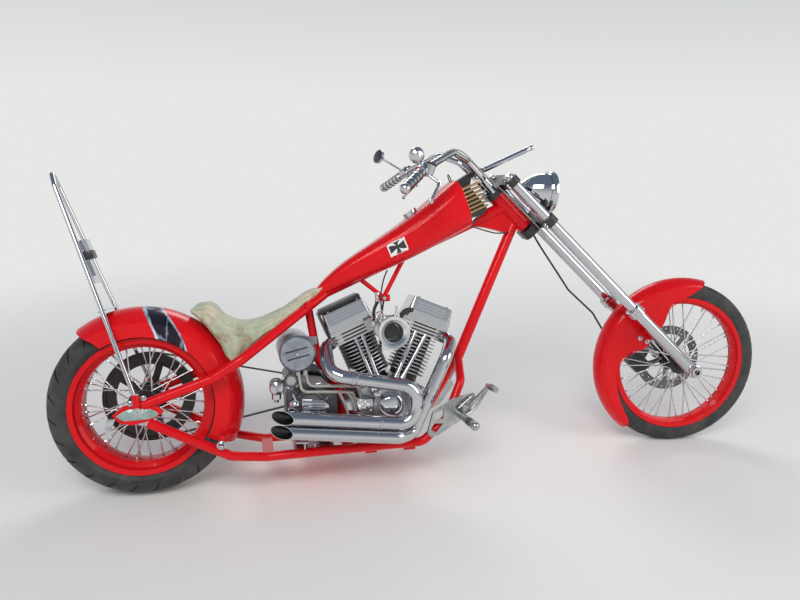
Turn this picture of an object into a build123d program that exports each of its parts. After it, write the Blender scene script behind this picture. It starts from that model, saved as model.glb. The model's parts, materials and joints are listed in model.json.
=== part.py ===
from build123d import *
import math
import os

# Chopper motorcycle, leaning on its side stand.
# Modelled upright: x forward, y to the rider's left, z up, the rear tyre's
# contact at the origin. Lengths in mm, angles in degrees.
os.makedirs("parts", exist_ok=True)

# Stance.
LEAN = 14.0
RAKE = 45.8
STEER = -9.2
WHEELBASE = 2193.0
AXLE_OFFSET = 60.0

# Wheels.
REAR_TYRE_R = 327.0
REAR_CROWN_R = 90.0
REAR_FLANGE_R = 245.0
REAR_RIM_HALF = 82.5
FRONT_TYRE_R = 353.5
FRONT_CROWN_R = 42.0
FRONT_FLANGE_R = 289.0
FRONT_RIM_HALF = 36.0
REAR_SEAT_DROP = 14.0
REAR_WELL_DROP = 33.0
FRONT_SEAT_DROP = 13.5
FRONT_WELL_DROP = 25.0
REAR_RIM_WALL = 4.5
FRONT_RIM_WALL = 4.0
BEAD_RUN = 0.5
AXLE_R = 10.0
AXLE_RUN = 0.6
AXLE_BORE = 6.0
SPINDLE_HALF = 162.0
REAR_SPINDLE_HALF = 163.0
SPOKE_R = 2.5
REAR_HUB_HALF = 84.0
FRONT_HUB_HALF = 62.0
HUB_GAP = 0.5

lean_rad = math.radians(LEAN)
rake_rad = math.radians(RAKE)
steer_rad = math.radians(STEER)

# A leaning wheel rests on its round crown, so the axle height follows.
rear_ring_r = REAR_TYRE_R - REAR_CROWN_R
REAR_AXLE_Z = rear_ring_r + REAR_CROWN_R / math.cos(lean_rad)
front_ring_r = FRONT_TYRE_R - FRONT_CROWN_R
front_tilt = (math.cos(steer_rad) * -math.sin(lean_rad)
              - math.sin(rake_rad) * math.sin(steer_rad) * math.cos(lean_rad))
front_drop = front_ring_r * math.sqrt(1 - front_tilt ** 2) + FRONT_CROWN_R
front_side = AXLE_OFFSET * math.sin(steer_rad)
front_rise = AXLE_OFFSET * (1 - math.cos(steer_rad)) * math.sin(rake_rad)
FRONT_AXLE_Z = (front_drop + front_side * math.sin(lean_rad)) / math.cos(lean_rad) + front_rise

# The fork's own directions: up the legs, and square to them, forward.
leg = Vector(-math.sin(rake_rad), 0, math.cos(rake_rad))
ahead = Vector(math.cos(rake_rad), 0, math.sin(rake_rad))
side = Vector(0, 1, 0)
front_axle = Vector(WHEELBASE, 0, FRONT_AXLE_Z)
rear_axle = Vector(0, 0, REAR_AXLE_Z)
steer_foot = front_axle - ahead * AXLE_OFFSET
steer_axis = Axis(steer_foot, leg)


# Ways of making.
def rod(start, end, radius):
    start = Vector(start)
    end = Vector(end)
    run = end - start
    disc = Plane(origin=start, z_dir=run.normalized()) * Circle(radius)
    return extrude(disc, amount=run.length)


def bent(points, radius, bend, bore=0.0):
    if len(points) == 2:
        path = Polyline(*points)
    else:
        path = FilletPolyline(*points, radius=bend)
    section = Circle(radius)
    if bore > 0:
        section -= Circle(bore)
    return sweep(Plane(origin=path @ 0, z_dir=path % 0) * section, path=path)


def turned(profile, centre=(0, 0, 0)):
    # profile: (radius, y) points of a closed outline, turned about the wheel's axis
    face = make_face(Polyline(*profile, close=True))
    return Pos(*centre) * revolve(face, Axis.Y, 360)


def box(length, width, height, centre, pitch=0.0):
    return Pos(*centre) * Rot(0, pitch, 0) * Box(length, width, height)


def slab(outline, y_low, y_high):
    # outline: (x, z) points, extruded across the bike
    face = make_face(Polyline(*[(x, z) for x, z in outline], close=True))
    solid = extrude(Plane.XZ * face, amount=y_high - y_low)
    return Pos(0, y_high, 0) * solid


def along(t, y=0.0, forward=0.0):
    # a place t mm up the fork from the front axle
    return front_axle + leg * t + ahead * forward + side * y


def mirrored(shape):
    return shape.mirror(Plane.XZ)


nodes = {}
steered = set()

# Tyres.
# tyre table: name, crown radius, ring radius, shoulder radius, lip radius, lip half width,
#             bead radius, bead half width
tyres = [
    ("rear_tyre", REAR_CROWN_R, rear_ring_r, REAR_FLANGE_R + 17, REAR_FLANGE_R + 1.5,
     REAR_RIM_HALF - 5.5, REAR_FLANGE_R - REAR_SEAT_DROP + BEAD_RUN, REAR_RIM_HALF - 8.5),
    ("front_tyre", FRONT_CROWN_R, front_ring_r, FRONT_FLANGE_R + 8, FRONT_FLANGE_R + 1.5,
     FRONT_RIM_HALF - 4.5, FRONT_FLANGE_R - FRONT_SEAT_DROP + BEAD_RUN, FRONT_RIM_HALF - 6),
]
for name, crown, ring, shoulder, lip_r, lip_half, bead_r, bead_half in tyres:
    shoulder_half = math.sqrt(crown ** 2 - (shoulder - ring) ** 2)
    outline = [
        Polyline((shoulder, -shoulder_half), (lip_r, -lip_half), (bead_r, -bead_half),
                 (bead_r, bead_half), (lip_r, lip_half), (shoulder, shoulder_half)),
        ThreePointArc((shoulder, shoulder_half), (ring + crown, 0), (shoulder, -shoulder_half)),
    ]
    nodes[name] = revolve(make_face(Curve() + outline), Axis.Y, 360)

# Rims.
# rim table: name, flange radius, half width, seat radius, seat inner edge, well radius, well half, wall
rims = [
    ("rear_rim", REAR_FLANGE_R, REAR_RIM_HALF, REAR_FLANGE_R - REAR_SEAT_DROP, REAR_RIM_HALF - 34.5,
     REAR_FLANGE_R - REAR_WELL_DROP, REAR_RIM_HALF - 48.5, REAR_RIM_WALL),
    ("front_rim", FRONT_FLANGE_R, FRONT_RIM_HALF, FRONT_FLANGE_R - FRONT_SEAT_DROP, FRONT_RIM_HALF - 16,
     FRONT_FLANGE_R - FRONT_WELL_DROP, FRONT_RIM_HALF - 24, FRONT_RIM_WALL),
]
for name, flange, half, seat, seat_edge, well, well_half, wall in rims:
    nodes[name] = turned([
        (flange, -half), (flange, -half + wall), (seat, -half + wall + 1.5),
        (seat, -seat_edge), (well, -well_half), (well, well_half),
        (seat, seat_edge), (seat, half - wall - 1.5), (flange, half - wall), (flange, half),
        (seat - wall, half), (seat - wall, seat_edge + 3), (well - wall, well_half + 3),
        (well - wall, -well_half - 3), (seat - wall, -seat_edge - 3), (seat - wall, -half),
    ])

# Hubs with laced wire spokes.
# hub table: name, barrel radius, half length, flange radius, flange y, spokes a side,
#            spoke end radius, spoke end y, lacing angle
rear_spoke_end = REAR_FLANGE_R - REAR_WELL_DROP - REAR_RIM_WALL
front_spoke_end = FRONT_FLANGE_R - FRONT_WELL_DROP - FRONT_RIM_WALL
hubs = [
    ("rear_hub", 34.0, REAR_HUB_HALF, 54.0, 46.0, 20, rear_spoke_end, 12.0, 34.0),
    ("front_hub", 26.0, FRONT_HUB_HALF, 44.0, 36.0, 20, front_spoke_end, 5.0, 38.0),
]
for name, barrel, half, flange, flange_y, count, end_r, end_y, lacing in hubs:
    hub = turned([
        (AXLE_R + AXLE_RUN, -half), (barrel * 0.7, -half), (barrel, -flange_y - 6),
        (flange, -flange_y - 4), (flange, -flange_y + 4), (barrel, -flange_y + 8),
        (barrel, flange_y - 8), (flange, flange_y - 4), (flange, flange_y + 4),
        (barrel, flange_y + 6), (barrel * 0.7, half), (AXLE_R + AXLE_RUN, half),
    ])
    spokes = []
    for hand in (-1, 1):
        for k in range(count):
            turn = 360.0 / count * (k + 0.25 * hand)
            lace = lacing if k % 2 else -lacing
            start_y = hand * (flange_y + (3.2 if k % 2 else -3.2))
            a = math.radians(turn)
            b = math.radians(turn + lace)
            start = (math.cos(a) * (flange - 6), start_y, math.sin(a) * (flange - 6))
            end = (math.cos(b) * end_r, hand * end_y, math.sin(b) * end_r)
            spokes.append(rod(start, end, SPOKE_R))
    reach = turned([(0, -half), (end_r, -half), (end_r, half), (0, half)])
    nodes[name] = hub.fuse(*spokes) & reach

# Drive pulley, open between five arms.
PULLEY_R = 166.0
PULLEY_FACE = 44.0
BELT_IN = 107.0
BELT_OUT = 129.0
pulley = turned([
    (PULLEY_R, BELT_IN), (PULLEY_R, BELT_OUT), (PULLEY_R - PULLEY_FACE, BELT_OUT),
    (PULLEY_R - PULLEY_FACE, BELT_OUT - 8), (PULLEY_R - 9, BELT_OUT - 10), (PULLEY_R - 9, BELT_IN),
])
pulley_in = REAR_HUB_HALF + HUB_GAP
boss = turned([(24.6, pulley_in), (58, pulley_in), (58, BELT_OUT - 8), (24.6, BELT_OUT - 8)])
arms = []
for k in range(5):
    arm = Pos(88, BELT_OUT - 12, 0) * Box(80, 8, 26)
    arms.append(arm.rotate(Axis.Y, 72.0 * k))
nodes["drive_pulley"] = pulley.fuse(boss, *arms)

# Front brake disc, left side.
DISC_R = 146.0
DISC_Y = 66.0
DISC_T = 5.0
DISC_FACE = 38.0
DISC_HOLES = 30
DISC_HOLE_R = 4.0
disc_in = DISC_R - DISC_FACE
disc = turned([(DISC_R, DISC_Y), (DISC_R, DISC_Y + DISC_T), (disc_in, DISC_Y + DISC_T), (disc_in, DISC_Y)])
holes = []
for k in range(DISC_HOLES):
    a = math.radians(360.0 / DISC_HOLES * k)
    reach = disc_in + DISC_FACE * (0.32 if k % 2 else 0.7)
    place = Vector(reach * math.cos(a), 0, reach * math.sin(a))
    holes.append(rod(place + side * (DISC_Y - 1), place + side * (DISC_Y + DISC_T + 1), DISC_HOLE_R))
disc = disc - holes
carrier_in = FRONT_HUB_HALF + HUB_GAP
carrier = turned([(18.5, carrier_in), (42, carrier_in), (42, DISC_Y + DISC_T), (18.5, DISC_Y + DISC_T)])
arms = []
for k in range(5):
    arm = Pos((38 + disc_in + 4) / 2, DISC_Y + DISC_T / 2, 0) * Box(disc_in - 34, DISC_T, 20)
    arms.append(arm.rotate(Axis.Y, 72.0 * k + 20))
nodes["front_disc"] = disc.fuse(carrier, *arms)

for name in ("rear_tyre", "rear_rim", "rear_hub", "drive_pulley"):
    nodes[name] = Pos(*rear_axle) * nodes[name]
for name in ("front_tyre", "front_rim", "front_hub", "front_disc"):
    nodes[name] = Pos(*front_axle) * nodes[name]
    steered.add(name)

# Frame.
RAIL_R = 17.0
STAY_R = 18.0
DOWN_R = 21.0
BACKBONE_R = 24.0
HEAD_R = 34.0
HEAD_BORE = 16.0
STEM_RUN = 0.6
HEAD_LOW = 920.0
HEAD_HIGH = 1092.0
DROPOUT_Y = 155.0
PLATE_T = 12.0
RAIL_Z = 128.0

head_low = steer_foot + leg * HEAD_LOW
head_high = steer_foot + leg * HEAD_HIGH
head_mid = (head_low + head_high) * 0.5
head_tube = rod(head_low, head_high, HEAD_R) - rod(head_low, head_high, HEAD_BORE)


def near_neck(ahead_by, up_by, y=0.0):
    # a place measured from the middle of the head tube
    return Vector(head_mid.X + ahead_by, y, head_mid.Z + up_by)


def neck_outline(offsets):
    return [(head_mid.X + dx, head_mid.Z + dz) for dx, dz in offsets]


BACKBONE_REAR = Vector(660, 0, 712)
backbone_head = head_mid + leg * 30
backbone = rod(BACKBONE_REAR, backbone_head, BACKBONE_R)


def on_backbone(x):
    share = (x - BACKBONE_REAR.X) / (backbone_head.X - BACKBONE_REAR.X)
    return BACKBONE_REAR + (backbone_head - BACKBONE_REAR) * share


gusset_line = neck_outline([(-190, -57), (-112, -66), (-62, -78), (-30, -87), (32, -49), (-50, 33),
                            (-170, -37)])
gusset = slab(gusset_line, -14, 14)
stem_room = rod(head_low - leg * 20, head_high + leg * 20, HEAD_R - 1)
tree_room = (rod(head_low - leg * 60, head_low - leg * 0.01, 170)
             + rod(head_high + leg * 0.01, head_high + leg * 60, 170))
nodes["frame_neck"] = head_tube + (backbone + gusset - stem_room - tree_room)

SPLIT = Vector(1193, 0, 427)
down = rod(SPLIT, near_neck(10, -55), DOWN_R) - nodes["frame_neck"]
nodes["frame_down_tube"] = down

rail_line = [
    (SPLIT.X, -12, SPLIT.Z), (1178, -88, 352), (1105, -122, 215), (1010, -124, RAIL_Z + 6),
    (420, -126, RAIL_Z), (300, -DROPOUT_Y, 150), (30, -DROPOUT_Y, 290),
]
rail = bent(rail_line, RAIL_R, 60)
stay_line = [(662, -14, 706), (345, -DROPOUT_Y, 488), (245, -DROPOUT_Y, 428), (15, -DROPOUT_Y, 352)]
stay = bent(stay_line, STAY_R, 70)
plate = slab([(-84, 322), (-50, 352), (0, 362), (60, 348), (84, 326), (40, 298), (-20, 286), (-60, 296)],
             -DROPOUT_Y - PLATE_T / 2, -DROPOUT_Y + PLATE_T / 2)
axle_bore = rod((0, -DROPOUT_Y - 60, REAR_AXLE_Z), (0, -DROPOUT_Y + 60, REAR_AXLE_Z), AXLE_R)
stay = stay + plate - axle_bore - nodes["frame_neck"]
rail = rail - stay - down - axle_bore
nodes["frame_stays"] = Compound([stay, mirrored(stay)])
nodes["frame_rails"] = Compound([rail, mirrored(rail)])
nodes["rear_axle"] = Pos(*rear_axle) * turned([
    (AXLE_BORE, -REAR_SPINDLE_HALF), (AXLE_R, -REAR_SPINDLE_HALF),
    (AXLE_R, REAR_SPINDLE_HALF), (AXLE_BORE, REAR_SPINDLE_HALF)])


# seat tube and the flat cross plates that the engine and gearbox stand on
seat_tube = bent([(596, 0, 672), (630, 0, 452), (712, 0, 340), (728, 0, 134)], 16, 50)
crosses = [box(44, 236, 10, (810, 0, 110)), box(44, 236, 10, (960, 0, 110)),
           box(150, 232, 10, (600, 0, 131)), box(40, 232, 10, (728, 0, 131)),
          box(40, 232, 10, (430, 0, 131))]
cross_all = seat_tube
for cross in crosses:
    cross_all = cross_all + cross
cross_all = cross_all + rod((596, -74, 668), (596, 74, 668), 13)
nodes["frame_cross"] = cross_all - nodes["frame_rails"] - nodes["frame_stays"]

# Engine: a 45 degree V-twin around the crank centre.
CRANK = Vector(903, 0, 226)
BANK = 22.5
CASE_R = 108.0
CASE_HALF = 74.0
BARREL_START = 150.0
BARREL_END = 338.0
HEAD_END = 386.0
ROCKER_END = 466.0
HEAD_LONG = 176.0
HEAD_WIDE = 136.0
FIN_COUNT = 11
FIN_T = 4.0
FIN_FROM = 30.0

case_round = turned([(0, -CASE_HALF), (CASE_R, -CASE_HALF), (CASE_R, CASE_HALF), (0, CASE_HALF)])
engine_case = Pos(*CRANK) * case_round
cam_cover = slab([(835, 178), (860, 150), (955, 160), (985, 215), (975, 300), (930, 350),
                  (850, 352), (822, 290)], -112, -CASE_HALF)
cam_dome = rod((892, -112, 285), (892, -132, 285), 46) + rod((892, -132, 285), (892, -142, 285), 36)
sump = box(210, 120, 30, (890, 0, 130))


def bank_place(shape, tilt):
    # a piece modelled standing on the crank centre, leant into its bank
    return Pos(*CRANK) * (shape.rotate(Axis.Y, tilt))


def cylinder():
    core = Pos(0, 0, BARREL_START) * extrude(Circle(56), BARREL_END - BARREL_START)
    pitch = (BARREL_END - BARREL_START - FIN_FROM) / FIN_COUNT
    fins = []
    for k in range(FIN_COUNT):
        fin = extrude(RectangleRounded(148, 134, 48), FIN_T)
        fins.append(Pos(0, 0, BARREL_START + FIN_FROM + pitch * k) * fin)
    return core.fuse(*fins)


def head():
    block = Pos(0, 0, (BARREL_END + HEAD_END) / 2) * Box(HEAD_LONG, HEAD_WIDE, HEAD_END - BARREL_END)
    for k in range(3):
        groove = Pos(0, 0, BARREL_END + 10 + 13 * k)
        ring = Box(HEAD_LONG + 2, HEAD_WIDE + 2, 6) - Box(HEAD_LONG - 16, HEAD_WIDE - 16, 6)
        block = block - groove * ring
    return block


def rocker_box():
    # tier table: lift above the head, height, overhang past the head on each side
    tiers = [(0, 8, 4), (8, 4, 0), (12, 6, 3), (18, 4, 0), (22, 6, 3), (28, 4, 0)]
    tier_top = 32
    stack = []
    for lift, height, over in tiers:
        plate = RectangleRounded(HEAD_LONG + 2 * over, HEAD_WIDE + 2 * over, 12)
        stack.append(Pos(0, 0, HEAD_END + lift) * extrude(plate, height))
    cover = extrude(RectangleRounded(HEAD_LONG, HEAD_WIDE, 12), ROCKER_END - HEAD_END - tier_top, taper=7)
    for k in range(3):
        groove = Box(HEAD_LONG - 50, HEAD_WIDE + 20, 4) - Box(HEAD_LONG, HEAD_WIDE - 14 - 3 * k, 6)
        cover = cover - Pos(0, 0, 12 + 11 * k) * groove
    return stack[0].fuse(*stack[1:], Pos(0, 0, HEAD_END + tier_top) * cover)


pot = cylinder() + head()
cases = engine_case + cam_cover + cam_dome + sump
pots = []
boxes = []
for tilt in (-BANK, BANK):
    seat_flat = Pos(0, 0, BARREL_START - 40) * Box(150, 130, 80)
    cases = cases + bank_place(seat_flat, tilt)
    pots.append(bank_place(pot, tilt))
    boxes.append(bank_place(rocker_box(), tilt))
cases = cases - pots[0] - pots[1]

# pushrod table: which bank, foot x, foot z, bank tilt, place along the bank
PUSHROD_R = 8.0
PUSHROD_RUN = 1.5
pushrods = []
for bank, foot_x, foot_z, tilt, shift in [(0, 838, 352, -BANK, -5), (0, 858, 352, -BANK, 24),
                                          (1, 900, 350, BANK, -30), (1, 921, 345, BANK, 12)]:
    a = math.radians(tilt)
    top = CRANK + Vector(math.sin(a), 0, math.cos(a)) * (BARREL_END + 2)
    top = top + Vector(math.cos(a), 0, -math.sin(a)) * shift
    foot = Vector(foot_x, -94, foot_z)
    top = Vector(top.X, -HEAD_WIDE / 2 + 6, top.Z)
    upward = (top - foot).normalized()
    pushrods.append(rod(foot, top, PUSHROD_R))
    pots[bank] = pots[bank] - rod(foot, top - upward * 3, PUSHROD_R + PUSHROD_RUN)
nodes["engine_case"] = cases
nodes["cylinders"] = Compound([pots[0], pots[1]])
nodes["rocker_boxes"] = Compound(boxes)
blocked = nodes["cylinders"] + cases
pushrods = [p - blocked for p in pushrods]
nodes["pushrods"] = Compound(pushrods)

# Intake: manifold, carburettor and the air horn.
HORN = Vector(886, 0, 568)
THROAT_R = 30.0
PLATE_IN = 150.0
PLATE_OUT = 160.0
# horn table: how far past the throat's radius, how far out from the plate
horn_table = [(4, 0), (6, 24), (10, 44), (20, 56), (28, 60), (28, 66), (18, 64), (6, 52), (0, 30), (0, 0)]
horn = Pos(HORN.X, 0, HORN.Z) * turned([(THROAT_R + past, -PLATE_OUT - out) for past, out in horn_table])
carb = rod((HORN.X, -70, HORN.Z), (HORN.X, -PLATE_IN, HORN.Z), THROAT_R + 4)
plate_line = Polyline((HORN.X - 76, HORN.Z + 36), (HORN.X + 82, HORN.Z + 38), (HORN.X + 66, HORN.Z - 6),
                      (HORN.X + 26, HORN.Z - 54), (HORN.X - 24, HORN.Z - 50), (HORN.X - 62, HORN.Z - 2),
                      close=True)
plate_face = make_face(plate_line)
plate_face = fillet(plate_face.vertices(), 10)
back_plate = Pos(0, -PLATE_IN, 0) * extrude(Plane.XZ * plate_face, amount=PLATE_OUT - PLATE_IN)
bowl = box(60, 50, 50, (HORN.X, -110, HORN.Z - 50))
manifold = rod((HORN.X, -72, HORN.Z), (HORN.X, 0, 560), 24)
runner = rod((852, 0, 556), (954, 0, 556), 20)
intake = carb + horn + back_plate + bowl + manifold + runner
nodes["intake"] = intake - nodes["cylinders"] - nodes["rocker_boxes"] - nodes["pushrods"]

# Exhausts.
PIPE_R = 25.0
PIPE_BORE = 22.5
UPPER_PIPE_Y = 205.0
LOWER_PIPE_Y = 202.0
TAIL_RISE = 0.12245
TAIL_FROM = 100.0
TAIL_END_X = 430.0
tail_way = Vector(-1, 0, TAIL_RISE).normalized()


def exhaust(header, corner, bend):
    # a bent header, then a straight tube from TAIL_FROM past its last corner
    corner = Vector(corner)
    joint = corner + tail_way * TAIL_FROM
    tip = corner + Vector(-1, 0, TAIL_RISE) * (corner.X - TAIL_END_X)
    tail = rod(joint, tip, PIPE_R) - rod(joint, tip, PIPE_BORE)
    return bent(header + [corner, joint], PIPE_R, bend, PIPE_BORE) + tail


rear_pipe = exhaust([(694, -36, 530), (652, -78, 506), (650, -UPPER_PIPE_Y, 424),
                     (968, -UPPER_PIPE_Y, 363)], (968, -UPPER_PIPE_Y, 224), 64)
front_pipe = exhaust([(1100, -36, 534), (1138, -90, 512), (1100, -154, 460), (962, -154, 178)],
                     (900, -LOWER_PIPE_Y, 180), 46)
# both tips are cut slanting, open to the outside
slash = Pos(480, -204, 262) * Rot(0, 0, 57) * Pos(-100, 0, 0) * Box(200, 300, 300)
nodes["exhausts"] = Compound([rear_pipe - slash - nodes["cylinders"],
                              front_pipe - slash - nodes["cylinders"]])

# Gearbox, primary drive and belt.
GEARBOX = Vector(598, 0, 318)
gear_block = slab([(500, 250), (520, 205), (690, 205), (690, 326), (650, 370), (520, 392),
                   (500, 350)], -92, 92)
gear_feet = box(40, 120, 80, (556, 0, 176)) + box(40, 120, 80, (644, 0, 176))
gear_cover = rod((585, -92, 300), (585, -116, 300), 58) + rod((585, -116, 300), (585, -126, 300), 44)
starter = rod((520, -110, 396), (520, 92, 396), 24)
filter_dome = rod((467, -128, 378), (467, -60, 378), 25) + rod((467, -60, 378), (500, -60, 378), 14)
drive_shaft = rod((GEARBOX.X, 92, GEARBOX.Z), (GEARBOX.X, 150, GEARBOX.Z), 16)
front_pulley = Pos(*GEARBOX) * turned([(16, BELT_IN), (44, BELT_IN), (44, BELT_OUT), (16, BELT_OUT)])
nodes["gearbox"] = gear_block + gear_feet + gear_cover + starter + filter_dome + drive_shaft + front_pulley

PRIMARY_IN = 142.0
PRIMARY_OUT = 196.0
primary_line = make_hull([Edge.make_circle(88, Plane.XY.offset(0)),
                          Edge.make_circle(100, Plane(origin=(-305, 92, 0)))])
primary_body = extrude(Plane.XZ * primary_line, amount=PRIMARY_OUT - PRIMARY_IN)
primary = Pos(CRANK.X, PRIMARY_OUT, CRANK.Z) * primary_body
primary_dome = rod((GEARBOX.X, PRIMARY_OUT, GEARBOX.Z), (GEARBOX.X, PRIMARY_OUT + 8, GEARBOX.Z), 70)
derby = rod((GEARBOX.X, PRIMARY_OUT, GEARBOX.Z), (GEARBOX.X, PRIMARY_OUT + 16, GEARBOX.Z), 58)
inspection = Pos(758, PRIMARY_OUT, 268) * Rot(0, 17, 0) * (
    Rot(-90, 0, 0) * extrude(RectangleRounded(96, 52, 24), 7))
primary_dome = primary_dome + derby + inspection
primary_neck = rod((CRANK.X, CASE_HALF, CRANK.Z), (CRANK.X, PRIMARY_IN, CRANK.Z), 60)
bearing_room = rod((GEARBOX.X, 130, GEARBOX.Z), (GEARBOX.X, 150, GEARBOX.Z), 16)
nodes["primary_cover"] = primary + primary_dome + primary_neck - bearing_room

BELT_T = 4.0
belt_out = make_hull([Edge.make_circle(PULLEY_R + 0.4 + BELT_T, Plane.XY),
                      Edge.make_circle(44 + BELT_T, Plane(origin=(GEARBOX.X, GEARBOX.Z - REAR_AXLE_Z, 0)))])
belt_in = make_hull([Edge.make_circle(PULLEY_R + 0.4, Plane.XY),
                     Edge.make_circle(44, Plane(origin=(GEARBOX.X, GEARBOX.Z - REAR_AXLE_Z, 0)))])
belt = extrude(Plane.XZ * (belt_out - belt_in), amount=BELT_OUT - BELT_IN - 2)
nodes["drive_belt"] = Pos(0, BELT_OUT - 1, REAR_AXLE_Z) * belt

# Oil tank and hoses.
OIL = Vector(545, 0, 497)
oil_drum = Pos(*OIL) * turned([(0, -132), (60, -132), (67, -125), (67, 125), (60, 132), (0, 132)])
for lift in (-14, 14):
    oil_drum = oil_drum - Pos(OIL.X, -132, OIL.Z) * Rot(0, -13, 0) * Pos(0, 0, lift) * Box(84, 6, 6)
oil_bolt = rod((OIL.X, -132, OIL.Z), (OIL.X, -138, OIL.Z), 9)
oil_hanger = box(44, 40, 30, (606, 0, 530))
nodes["oil_tank"] = oil_drum + oil_bolt + oil_hanger - nodes["frame_cross"]
hoses = []
for start_x, drop in ((546, 0), (572, 20)):
    hose = bent([(start_x, -112, 442), (start_x + 10, -136, 358 + drop), (744 + drop, -136, 346 + drop),
                 (764 + drop, -100, 262 + drop), (815, -60, 240 + drop)], 6, 24)
    hoses.append(hose - oil_drum - cases)
nodes["oil_hoses"] = Compound(hoses)

# Tank: five sections, drawn in the plane of each bottom and top point.
TANK_TAIL = Vector(642, 0, 694)
tank_reach = head_mid.X - TANK_TAIL.X
tank_rise = head_mid.Z - TANK_TAIL.Z
# tank table: share of the reach, share of the rise, top set back, top above, width, corner radius
tank_rows = [
    (0.000, 0.000, 12, 30, 46, 12),
    (0.150, 0.149, 38, 70, 104, 28),
    (0.365, 0.347, 52, 108, 172, 46),
    (0.581, 0.588, 60, 142, 218, 60),
    (0.759, 0.805, 64, 182, 216, 64),
]
tank_faces = []
for reach, rise, back, height, width, corner in tank_rows:
    low = TANK_TAIL + Vector(tank_reach * reach, 0, tank_rise * rise)
    up = Vector(-back, 0, height)
    plane = Plane(origin=low + up * 0.5, x_dir=(0, 1, 0), z_dir=Vector(0, 1, 0).cross(up).normalized())
    tank_faces.append(plane * RectangleRounded(width, up.length, corner))
tank_body = loft(tank_faces)
strut_low = Vector(894, 0, 684)
struts = rod(on_backbone(790), strut_low, 9) + rod(on_backbone(990), strut_low, 9)
motor_mount = box(46, 30, 26, (894, 0, 682))
nodes["frame_neck"] = nodes["frame_neck"] + struts + motor_mount
nodes["tank"] = tank_body - nodes["frame_neck"] - nodes["frame_stays"]
cap_low = TANK_TAIL + Vector(tank_reach * 0.473, 0, tank_rise * 0.947)
nodes["filler_cap"] = Pos(*cap_low) * Rot(0, -33, 0) * extrude(Circle(30), 22) - tank_body

# Seat.
seat_side = slab([(172, 664), (193, 680), (236, 687), (262, 662), (284, 634), (331, 609), (371, 604),
                  (428, 616), (511, 652), (590, 708), (654, 738), (660, 730), (560, 655), (440, 572),
                  (384, 530), (335, 490), (314, 476), (303, 487), (281, 541), (237, 603), (192, 650)],
                 -128, 128)
seat_plan = Pos(425, 0, 600) * loft([
    Pos(-256, 0, 0) * Rot(0, 90, 0) * RectangleRounded(400, 190, 60),
    Pos(-100, 0, 0) * Rot(0, 90, 0) * RectangleRounded(400, 256, 40),
    Pos(40, 0, 0) * Rot(0, 90, 0) * RectangleRounded(400, 220, 40),
    Pos(245, 0, 0) * Rot(0, 90, 0) * RectangleRounded(400, 60, 20),
], ruled=True)
nodes["seat"] = (seat_side & seat_plan) - nodes["frame_stays"] - nodes["frame_neck"] - nodes["tank"]
nodes["seat"] = nodes["seat"] - nodes["frame_cross"]

# Rear fender.
FENDER_GAP = 25.0
FENDER_HALF = 104.0
FENDER_T = 3.0
FENDER_CROWN = 52.0
SEAT_RUN = 0.3
FENDER_R = REAR_TYRE_R + FENDER_GAP
FENDER_LOW = REAR_FLANGE_R + 5
FENDER_EDGE = FENDER_R - FENDER_CROWN
fender_in = FENDER_HALF - FENDER_T
fender_out = [
    Line((FENDER_LOW, FENDER_HALF), (FENDER_EDGE, FENDER_HALF)),
    ThreePointArc((FENDER_EDGE, FENDER_HALF), (FENDER_R, 0), (FENDER_EDGE, -FENDER_HALF)),
    Polyline((FENDER_EDGE, -FENDER_HALF), (FENDER_LOW, -FENDER_HALF), (FENDER_LOW, -fender_in),
             (FENDER_EDGE, -fender_in)),
    ThreePointArc((FENDER_EDGE, -fender_in), (FENDER_R - FENDER_T, 0), (FENDER_EDGE, fender_in)),
    Polyline((FENDER_EDGE, fender_in), (FENDER_LOW, fender_in), (FENDER_LOW, FENDER_HALF)),
]
fender_ring = Pos(*rear_axle) * revolve(make_face(Curve() + fender_out), Axis.Y, 360)
# keep table: angle about the axle from straight ahead, share of the fender's radius
fender_cut = [(119.3, 0.684), (122.2, 0.80), (127.6, 0.955), (126.0, 1.30), (90.0, 1.30), (45.0, 1.60),
              (0.0, 1.30), (-26.5, 1.30), (-26.5, 1.094), (-28.8, 0.70)]
fender_line = [(0, REAR_AXLE_Z)]
for angle, share in fender_cut:
    a = math.radians(angle)
    fender_line.append((FENDER_R * share * math.cos(a), REAR_AXLE_Z + FENDER_R * share * math.sin(a)))
rear_fender = fender_ring & slab(fender_line, -FENDER_HALF - 10, FENDER_HALF + 10)
# boss table: side, x, z; the left one passes between the runs of the belt
for hand, boss_x, boss_z in ((-1, 272, 218), (1, 288, 268)):
    boss = rod((boss_x, hand * 101, boss_z), (boss_x, hand * 168, boss_z), 9)
    post = rod((boss_x, hand * 152, 158), (boss_x, hand * 152, boss_z), 8)
    rear_fender = rear_fender + boss + post
nodes["rear_fender"] = rear_fender - nodes["frame_rails"] - nodes["frame_stays"]
room_half = FENDER_HALF + SEAT_RUN
room_edge = [
    Polyline((FENDER_EDGE, room_half), (0, room_half), (0, -room_half), (FENDER_EDGE, -room_half)),
    ThreePointArc((FENDER_EDGE, -room_half), (FENDER_R + SEAT_RUN, 0), (FENDER_EDGE, room_half)),
]
fender_room = Pos(*rear_axle) * revolve(make_face(Curve() + room_edge), Axis.Y, 360)
nodes["seat"] = nodes["seat"] - fender_room

# Sissy bar, tail lamp and plate bracket.
SISSY_R = 8.0
SISSY_Y = 168.0
SISSY_LOW = 372.0
SISSY_HIGH = 1110.0
SISSY_BACK = 254.0
SISSY_NECK = 30.0


def sissy_place(z):
    # x and half width of the bar's legs at height z
    f = (z - SISSY_LOW) / (SISSY_HIGH - SISSY_LOW)
    return -4 - SISSY_BACK * f, SISSY_Y + (SISSY_NECK - SISSY_Y) * f


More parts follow.
